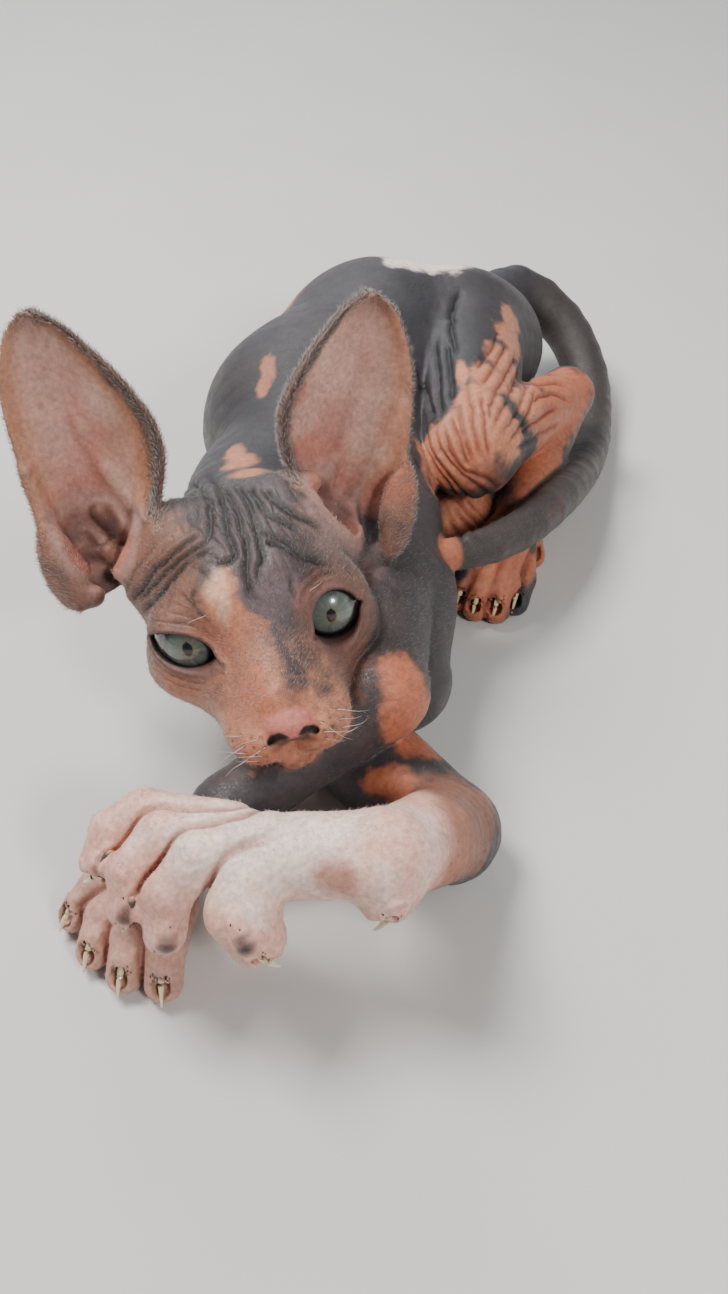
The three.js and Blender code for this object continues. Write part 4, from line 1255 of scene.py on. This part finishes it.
def material(name, values):
    """A material with these values on its shader, its tree, its shader and the place on the piece."""
    mat = bpy.data.materials.new(name)
    mat.use_nodes = True
    tree = mat.node_tree
    shader = tree.nodes["Principled BSDF"]
    for key, value in values.items():
        shader.inputs[key].default_value = value
    return mat, tree, shader, node(tree, "TexCoord").outputs["Object"]


def tint_of(tree):
    return node(tree, "Attribute", attribute_name="tint").outputs["Color"]


def math_of(tree, operation, a, b):
    return node(tree, "Math", {0: a, 1: b}, operation=operation).outputs[0]


def noise_of(tree, where, scale, detail=2.0):
    return node(tree, "TexNoise", {"Vector": where, "Scale": scale, "Detail": detail}).outputs["Fac"]


def range_of(tree, value, low, high, start=0.0, stop=1.0):
    """A value from start to stop, spread from low to high."""
    limits = {"Value": value, "From Min": start, "From Max": stop, "To Min": low, "To Max": high}
    return node(tree, "MapRange", limits).outputs[0]


def cells_of(tree, where, scale, reach):
    """0 on the borders of small cells, rising to 1 at reach from them."""
    cells = node(tree, "TexVoronoi", {"Vector": where, "Scale": scale}, feature="DISTANCE_TO_EDGE")
    return range_of(tree, cells.outputs["Distance"], 0.0, 1.0, 0.0, reach)


def colour_with(tree, shader, colour, factor=None):
    """Gives the shader a colour, times a factor where there is one."""
    if factor is not None:
        three = node(tree, "CombineXYZ", {0: factor, 1: factor, 2: factor}).outputs[0]
        colour = node(tree, "VectorMath", {0: colour, 1: three}, operation="MULTIPLY").outputs[0]
    tree.links.new(colour, shader.inputs["Base Color"])


def bump_with(tree, shader, height, strength, distance):
    bump = node(tree, "Bump", {"Height": height, "Strength": strength, "Distance": distance})
    tree.links.new(bump.outputs["Normal"], shader.inputs["Normal"])


SKIN_LOOK = {
    "Roughness": 0.5, "Subsurface Weight": 0.16, "Subsurface Radius": (1.0, 0.4, 0.25),
    "Subsurface Scale": 0.0016, "Sheen Weight": 0.05, "Sheen Roughness": 0.45,
}
EYE_LOOK = {"Roughness": 0.25, "Coat Weight": 1.0, "Coat Roughness": 0.015}
CLAW_LOOK = {
    "Roughness": 0.3, "Coat Weight": 0.5, "Subsurface Weight": 0.1, "Subsurface Scale": 0.001,
}
HAIR_LOOK = {"Roughness": 0.6, "Sheen Weight": 0.3}

skin_mat, tree, shader, where = material("skin", SKIN_LOOK)
grain = range_of(tree, noise_of(tree, where, 900.0, 4.0), 0.80, 1.18, 0.3, 0.7)
colour_with(tree, shader, tint_of(tree), grain)
rough = range_of(tree, noise_of(tree, where, 260.0, 3.0), 0.36, 0.54, 0.3, 0.7)
tree.links.new(rough, shader.inputs["Roughness"])
pores = math_of(tree, "MULTIPLY", cells_of(tree, where, 2600.0, 0.12), 0.35)
lines = math_of(tree, "MULTIPLY", cells_of(tree, where, 1100.0, 0.08), 0.4)
specks = math_of(tree, "MULTIPLY", noise_of(tree, where, 700.0, 4.0), 1.2)
height = math_of(tree, "ADD", math_of(tree, "ADD", pores, lines), specks)
bump_with(tree, shader, height, 0.5, 0.00018)

eye_mat, tree, shader, where = material("eye", EYE_LOOK)
colour_with(tree, shader, tint_of(tree))
bump_with(tree, shader, noise_of(tree, where, 1500.0), 0.08, 0.0001)

claw_mat, tree, shader, where = material("claw", CLAW_LOOK)
colour_with(tree, shader, tint_of(tree))
bump_with(tree, shader, noise_of(tree, where, 1800.0), 0.2, 0.0001)

hair_mat, tree, shader, where = material("hair", HAIR_LOOK)
tone = range_of(tree, noise_of(tree, where, 2500.0), 0.75, 1.2)
colour_with(tree, shader, tint_of(tree), tone)

# Pieces


def shown(name, data):
    """An object in the scene with this data."""
    obj = bpy.data.objects.new(name, data)
    bpy.context.scene.collection.objects.link(obj)
    return obj


def tube(rings, sides):
    """Numbers of the points in rings, and the quads between the rings."""
    idx = np.arange(rings * sides).reshape(rings, sides)
    a, b = idx[:-1], idx[1:]
    faces = np.stack([a, np.roll(a, -1, 1), np.roll(b, -1, 1), b], -1)
    return idx, faces.reshape(-1, 4).tolist()


def bake_map(obj, maps):
    """Puts each point of a piece at its place on the unwrap."""
    layer = obj.data.uv_layers.new(name="OFBake")
    corner = np.empty(len(obj.data.loops), np.int32)
    obj.data.loops.foreach_get("vertex_index", corner)
    layer.data.foreach_set("uv", np.asarray(maps)[corner].astype(np.float32).ravel())


def piece(name, points, faces, mat, tints, replaced=()):
    mesh = bpy.data.meshes.new(name)
    mesh.from_pydata(metres(points).tolist(), [], faces)
    mesh.polygons.foreach_set("use_smooth", np.ones(len(faces), bool))
    layer = mesh.color_attributes.new("tint", "FLOAT_COLOR", "POINT")
    rgba = np.hstack([tints, np.ones((len(tints), 1))]).astype(np.float32)
    layer.data.foreach_set("color", rgba.ravel())
    mesh.materials.append(mat)
    mesh.update()
    obj = shown(name, mesh)
    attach(obj, "root")
    if replaced:
        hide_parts(*replaced)
    return obj


flesh = [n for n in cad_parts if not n.startswith(("eye_", "claw_"))]
piece("skin", P, quads.tolist() + many, skin_mat, tint, flesh)

# Eyes: radius of the iris, half width and height of the pupil, gaze of each eye and how far painted shade
# darkens each iris
IRIS = 5.4
PUPIL = (1.0, 1.45)
CORNEA = 0.5
GAZE = {-1: (0.0, 1, -0.03), 1: (0.2, 1, 0.06)}
PAINTED_SHADE = {-1: 1.0, 1: 0.7}


def eyeball(side):
    turn = 144
    angles = np.concatenate([np.linspace(0.01, 0.78, 64), np.linspace(0.82, 2.6, 24)])
    t, f = np.meshgrid(angles, 2 * np.pi * np.arange(turn) / turn, indexing="ij")
    bulge = EYE_RADIUS + CORNEA * np.clip(1 - (t / 0.75) ** 2, 0, 1)
    gaze = unit(np.array(GAZE[side]))
    up = unit(np.array([0, 0, 1.0]) - gaze * gaze[2])
    right = np.cross(gaze, up)
    ring = np.cos(f)[..., None] * right + np.sin(f)[..., None] * up
    local = np.sin(t)[..., None] * ring + np.cos(t)[..., None] * gaze
    centre = np.array([side * EYE_AT[0], EYE_AT[1], EYE_AT[2]])
    points = on_head((local * bulge[..., None]).reshape(-1, 3) + centre)
    idx, faces = tube(*t.shape)
    faces.append(idx[0][::-1].tolist())
    faces.append(idx[-1].tolist())
    r = EYE_RADIUS * np.sin(np.minimum(t, 1.5)).ravel()
    angle = f.ravel()
    x, y = r * np.cos(angle), r * np.sin(angle)
    spoke = np.stack([np.cos(angle) * 9, np.sin(angle) * 9, r * 0.3], 1)
    fibre = 0.5 * noise(spoke, 0.45, 5 + side) + 0.5 * noise(spoke, 1.1, 8 + side)
    cloud = noise(np.stack([x, y, 0 * x], 1), 1.5, 9)
    # Painted shade darkens the iris of the animal's right eye
    iris = PAINTED_SHADE[side] * IRIS_GREEN * (0.72 + 0.32 * fibre + 0.12 * cloud)[:, None]
    collar = (smoothstep(r, 3.1, 1.5) * (0.75 + 0.25 * fibre))[:, None]
    iris = iris * (1 - 0.6 * collar) + IRIS_GOLD * 0.6 * collar
    iris *= (1 - 0.85 * smoothstep(r, IRIS - 1.5, IRIS - 0.1))[:, None]
    # Painted shade from the upper lid, darker towards the top of the iris
    iris *= (1 - 0.35 * smoothstep(y, 1.0, 4.5))[:, None]
    # Painted shade: the eyeball outside the iris is dark
    out = smoothstep(r, IRIS - 0.1, IRIS + 0.2)[:, None]
    iris = iris * (1 - out) + SCLERA_SHADE * out
    edge = np.sqrt((x / PUPIL[0]) ** 2 + (y / PUPIL[1]) ** 2) + 0.08 * noise(spoke, 1.5, 12)
    hole = smoothstep(edge, 1.2, 0.9)[:, None]
    return points, faces, iris * (1 - hole) + 0.003 * hole


for side, name in ((-1, "eye_left"), (1, "eye_right")):
    points, faces, colour = eyeball(side)
    piece(name + "_ball", points, faces, eye_mat, colour, [name])

# Claws: pale horn, darker and pinker at the root


def claw_mesh(hook, sides=14, rings=16):
    u = np.linspace(-0.25, 1, rings)
    line = np.array([hook(x) for x in u])
    line[:, 3] *= 1.0 - 0.25 * (u < 0) * np.abs(u) * 4
    centre = line[:, :3]
    lean = unit_rows(np.gradient(centre, axis=0))
    rise = np.array(hook(0)[:3]) - np.array(hook(1)[:3])
    # Lean and rise are parallel at the middle ring, so rounding alone turns it and the rings flip there
    side = np.cross(lean, rise)
    side /= np.linalg.norm(side, axis=1, keepdims=True)
    top = np.cross(side, lean)
    angle = 2 * np.pi * np.arange(sides) / sides
    r = line[:, 3][:, None, None]
    ring = 0.72 * np.cos(angle)[None, :, None] * side[:, None]
    ring = ring + np.sin(angle)[None, :, None] * top[:, None]
    points = (centre[:, None] + r * ring).reshape(-1, 3)
    tip = centre[-1] + lean[-1] * line[-1, 3] * 1.3
    root = centre[0] - lean[0] * line[0, 3] * 0.5
    points = np.vstack([points, tip, root])
    idx, faces = tube(rings, sides)
    last, first = idx[-1], idx[0]
    n = len(points)
    faces += [[int(last[i]), int(last[(i + 1) % sides]), n - 2] for i in range(sides)]
    faces += [[int(first[(i + 1) % sides]), int(first[i]), n - 1] for i in range(sides)]
    share = np.concatenate([np.repeat(u, sides), [1, -0.25]])[:, None]
    colour = HORN_ROOT + (HORN - HORN_ROOT) * np.clip(share * 3, 0, 1)
    colour = colour + (HORN_TIP - colour) * np.clip(share - 0.6, 0, 1) * 1.5
    return points, faces, colour


for name, hook in CLAWS.items():
    points, faces, colour = claw_mesh(hook)
    piece(name + "_horn", points, faces, claw_mat, colour, [name])


# Down: short hairs where the coat breaks the form, dark at the root and lighter at the tip

rng = np.random.default_rng(11)

# Radius of a hair's patch on the unwrap, and the most hairs of each coat, their lengths and radii
PATCH = 0.0015
THIRD = 2.094
EAR_DOWN = 18500, (0.7, 1.5), (0.045, 0.085)
HEAD_DOWN = 17500, (0.55, 1.1), (0.035, 0.06)
BODY_DOWN = 18000, (0.5, 1.0), (0.035, 0.06)


def island(across, along, left):
    """A place on one island of the unwrap, from shares across and along it."""
    return np.stack([left + 0.2 * np.clip(across, 0, 1), 0.03 + 0.9 * np.clip(along, 0, 1)], 1)


def hairs(name, spots, flow, length, width, root_tint, tip_tint, unwrapped):
    """One piece of tapered three-sided hairs, each a small patch of the unwrap."""
    n = len(spots)
    normal = N[spots]
    flow = unit_rows(flow - normal * (flow * normal).sum(1, keepdims=True))
    stray = rng.normal(size=(n, 3)) * 0.35
    rise = unit_rows(normal * 0.65 + flow * 0.75 + stray * 0.6)
    root = P[spots] - normal * 0.12
    middle = root + rise * length[:, None] * 0.5
    tip = middle + (rise + flow * 0.45 + stray * 0.5) * length[:, None] * 0.45
    side = unit_rows(np.cross(rise, normal + stray))
    other = np.cross(rise, side)
    rows, maps, tints = [], [], []
    for centre, thick, spread, share in ((root, 1.0, 1.0, 0.0), (middle, 0.75, 0.66, 0.55)):
        for k in range(3):
            c, s = math.cos(THIRD * k), math.sin(THIRD * k)
            rows.append(centre + (side * c + other * s) * width[:, None] * thick)
            maps.append(unwrapped + PATCH * spread * np.array([c, s]))
            tints.append(root_tint + (tip_tint - root_tint) * share)
    rows.append(tip)
    maps.append(unwrapped)
    tints.append(tip_tint)
    points = np.stack(rows, 1).reshape(-1, 3)
    points[:, 2] = np.maximum(points[:, 2], HAIR_GAP)
    maps = np.stack(maps, 1).reshape(-1, 2)
    tints = np.clip(np.stack(tints, 1).reshape(-1, 3), 0.003, 0.95)
    pattern = [(2, 1, 0), (0, 1, 4, 3), (1, 2, 5, 4), (2, 0, 3, 5), (3, 4, 6), (4, 5, 6), (5, 3, 6)]
    first = 7 * np.arange(n)
    faces = [(first[:, None] + np.array(row)).tolist() for row in pattern]
    faces = [face for one in zip(*faces) for face in one]
    bake_map(piece(name, points, faces, hair_mat, tints), maps)


corners = P[TRIS]
size = np.linalg.norm(np.cross(corners[:, 1] - corners[:, 0], corners[:, 2] - corners[:, 0]), axis=1)
AREA = np.bincount(TRIS.ravel(), np.repeat(size, 3), len(P))


def chosen(mask, count):
    """Vertices picked at random where the mask is, as many to each square millimetre."""
    weight = AREA * mask
    count = min(count, int((weight > 0).sum()) - 1)
    return np.unique(rng.choice(len(P), count, p=weight / weight.sum()))


def lighter(spots, share):
    """The skin's tint at these spots, this share of the way to white."""
    return tint[spots] * (1 - share) + WHITE * share


count, lengths, widths = EAR_DOWN
for side, name in ((-1, "left"), (1, "right")):
    a, w, on_ear, inner, lobe = ear_looks[side]
    _, _, along, across, _ = ear_axes(side)
    up, out = along @ HEAD, across @ HEAD
    edge = np.maximum(smoothstep(w, 0.20, 0.04), smoothstep(w, 0.93, 0.99) * 0.8)
    edge = np.maximum(edge, smoothstep(a, 0.88, 0.97))
    coat = on_ear * np.maximum(edge, (1 - inner) * 0.35)
    coat = np.maximum(coat, on_ear * inner * 0.035 * smoothstep(a, 0.15, 0.5))
    coat = np.maximum(coat, 0.5 * lobe)
    spots = chosen(coat, count)
    n = len(spots)
    sway = (w[spots] - 0.5)[:, None] * out * 1.6 + up
    length = rng.uniform(*lengths, n) * (0.75 + 0.5 * edge[spots])
    width = rng.uniform(*widths, n)
    face = np.where(inner[spots] > 0.5, 0.03, 0.28)
    unwrapped = island(w[spots], a[spots], 0.03) + np.stack([face - 0.03, 0 * face], 1)
    share = (0.25 + 0.4 * rng.random(n))[:, None]
    tips = lighter(spots, share)
    hairs("down_ear_" + name, spots, sway, length, width, tint[spots] * 0.6, tips, unwrapped)

Q = np.stack(to_head(P.T), 1)
on_skull = (Q[:, 1] > -34) & (Q[:, 2] > -26) & (Q[:, 2] < 28)


def by_form(x, y, z, radii):
    """1 at a place on both sides of the head, falling to 0 some radii away."""
    square = [((p - c) / r) ** 2 for p, c, r in zip((np.abs(Q[:, 0]), Q[:, 1], Q[:, 2]), (x, y, z), radii)]
    return np.exp(-(square[0] + square[1] + square[2]))


bridge = by_form(0, 9, -6, (6.5, 9, 7))
brow = by_form(20, -14, 8, (7, 10, 9))
muzzle_down = by_form(6, 14, -15, (6, 9, 7))
clear_eye = smoothstep(np.minimum(rims[-1], rims[1]), 0.8, 2.2)
clear_nose = smoothstep(np.linalg.norm((Q - (0, 23.5, -13)) / (6.2, 4.6, 4.4), axis=1), 1.0, 1.25)
coat = bridge + 0.55 * muzzle_down + 0.35 * brow + 0.10
coat = on_skull * clear_eye * clear_nose * coat * (1 - ear_mask)
count, lengths, widths = HEAD_DOWN
spots = chosen(np.clip(coat, 0, 1), count)
n = len(spots)
flow = P[spots] - on_head((0, 30, -10))
length = rng.uniform(*lengths, n)
width = rng.uniform(*widths, n)
round_head = np.arctan2(Q[spots, 0], Q[spots, 1] + 60) / 1.6 + 0.5
unwrapped = island(round_head, (Q[spots, 2] + 30) / 62, 0.5)
share = (0.2 + 0.45 * rng.random(n) * (0.4 + 0.6 * np.clip(coat[spots], 0, 1)))[:, None]
hairs("down_head", spots, flow, length, width, tint[spots] * 0.8, lighter(spots, share), unwrapped)

share_tail, far = tail_share(P)
on_end = smoothstep(share_tail, 0.5, 0.95) * smoothstep(far, 1.5, 0.5)
toes = np.zeros(len(P))
for digits in (RIGHT_DIGITS, LEFT_DIGITS, LEFT_TOES, RIGHT_TOES):
    for digit in digits:
        x, y, z, r = digit[-1]
        toes = np.maximum(toes, np.exp(-(np.linalg.norm(P - (x, y, z), axis=1) / (r * 1.5)) ** 2))
coat = (~on_skull) * (1 - ear_mask) * (0.05 + 0.5 * on_end + 0.3 * toes)
count, lengths, widths = BODY_DOWN
spots = chosen(coat * (P[:, 2] > 1.5), count)
n = len(spots)
flow = np.tile([0.1, 1.0, -0.35], (n, 1)) * np.where(P[spots, 1] < 150, -1, 1)[:, None]
length = rng.uniform(*lengths, n)
width = rng.uniform(*widths, n)
turn = np.arctan2(P[spots, 2] - 28, P[spots, 0]) / (2 * np.pi) + 0.5
unwrapped = island(turn, (P[spots, 1] - 95) / 280, 0.74)
share = (0.04 + 0.16 * rng.random(n))[:, None]
hairs("down_body", spots, flow, length, width, tint[spots] * 0.8, lighter(spots, share), unwrapped)

# Whiskers: short and curly, broken off as this breed's are


def whiskers():
    sides, rings = 5, 9
    points, faces, maps = [], [], []
    starts = [(side, spot, 0.9) for side, spot in follicle_spots[::2]]
    for side, spot in ((s, on_head((s * 12, 2, 6))) for s in (-1, 1)):
        starts.append((side, P[np.argmin(np.linalg.norm(P - spot, axis=1))], 0.8))
    for number, (side, spot, size) in enumerate(starts):
        reach = size * rng.uniform(3.5, 8.5)
        curl = rng.normal(size=3) * 0.5
        away = np.array([side * 0.9, 0.15, 0.1 * rng.normal()]) + rng.normal(size=3) * 0.25
        away = unit(away @ HEAD)
        bend = np.cross(away, curl @ HEAD + (0, 0, 1))
        other = unit(np.cross(away, bend))
        up = np.cross(other, away)
        first = len(points)
        for i in range(rings):
            u = i / (rings - 1)
            centre = spot + away * reach * (u - 0.04) + bend * reach * (0.55 * u * u - 0.5 * u**3)
            thick = 0.055 * (1 - 0.8 * u)
            for k in range(sides):
                angle = 2 * math.pi * k / sides
                points.append(centre + thick * (math.cos(angle) * up + math.sin(angle) * other))
                maps.append((0.96 + 0.0015 * math.cos(angle), 0.03 + 0.018 * number + 0.0015 * u))
        for i in range(rings - 1):
            for k in range(sides):
                a, b = first + i * sides + k, first + i * sides + (k + 1) % sides
                faces.append((a, b, b + sides, a + sides))
        faces.append(tuple(first + k for k in reversed(range(sides))))
        faces.append(tuple(first + (rings - 1) * sides + k for k in range(sides)))
    tints = np.tile(WHISKER, (len(points), 1))
    bake_map(piece("whiskers", np.array(points), faces, hair_mat, tints), maps)


whiskers()

# Floor, light and camera

floor_mat, tree, shader, where = material("floor", {"Roughness": 0.85})
tones = {
    "Fac": noise_of(tree, where, 14.0), "Color1": (0.60, 0.59, 0.58, 1), "Color2": (0.66, 0.65, 0.64, 1),
}
colour_with(tree, shader, node(tree, "MixRGB", tones).outputs[0])
mesh = bpy.data.meshes.new("floor")
mesh.from_pydata([(-4, -4, 0), (4, -4, 0), (4, 4, 0), (-4, 4, 0)], [], [(0, 1, 2, 3)])
mesh.materials.append(floor_mat)
floor = shown("floor", mesh)

world = bpy.data.worlds.new("studio")
bpy.context.scene.world = world
world.use_nodes = True
sky = world.node_tree.nodes["Background"]
sky.inputs["Color"].default_value = (0.9, 0.94, 1, 1)
sky.inputs["Strength"].default_value = 0.15


def area_light(name, place, target, size, watts, colour):
    data = bpy.data.lights.new(name, "AREA")
    data.size = size
    data.energy = watts
    data.color = colour
    lamp = shown(name, data)
    lamp.location = place
    direction = Vector(np.subtract(target, place).tolist())
    lamp.rotation_euler = direction.to_track_quat("-Z", "Y").to_euler()


# Name, place, aim, width, watts and colour of each light, in metres
FACE_AT, BODY_AT = (-0.025, -0.07, 0.06), (0, 0, 0.04)
LIGHTS = [
    ("key", (-0.35, 0.12, 0.72), FACE_AT, 0.32, 9.0, (1, 0.98, 0.95)),
    ("glint", (0.30, -0.50, 0.50), FACE_AT, 0.12, 3.0, (1, 0.97, 0.94)),
    ("fill", (0.75, 0.1, 0.5), BODY_AT, 0.8, 1.8, (1, 0.95, 0.9)),
    ("rim", (-0.2, 0.8, 0.6), BODY_AT, 0.6, 4.2, (0.92, 0.96, 1)),
]
for light in LIGHTS:
    area_light(*light)

camera_data = bpy.data.cameras.new("camera")
camera_data.sensor_width = 36
camera_data.sensor_fit = "AUTO"
camera_data.lens = FOCAL / PHOTO_HIGH * 36
camera_data.clip_start = 0.01
camera = shown("camera", camera_data)
camera.location = metres(EYE_POINT).tolist()
camera.rotation_euler = (math.pi / 2 - CAMERA_DOWN, 0, 0)
bpy.context.scene.camera = camera
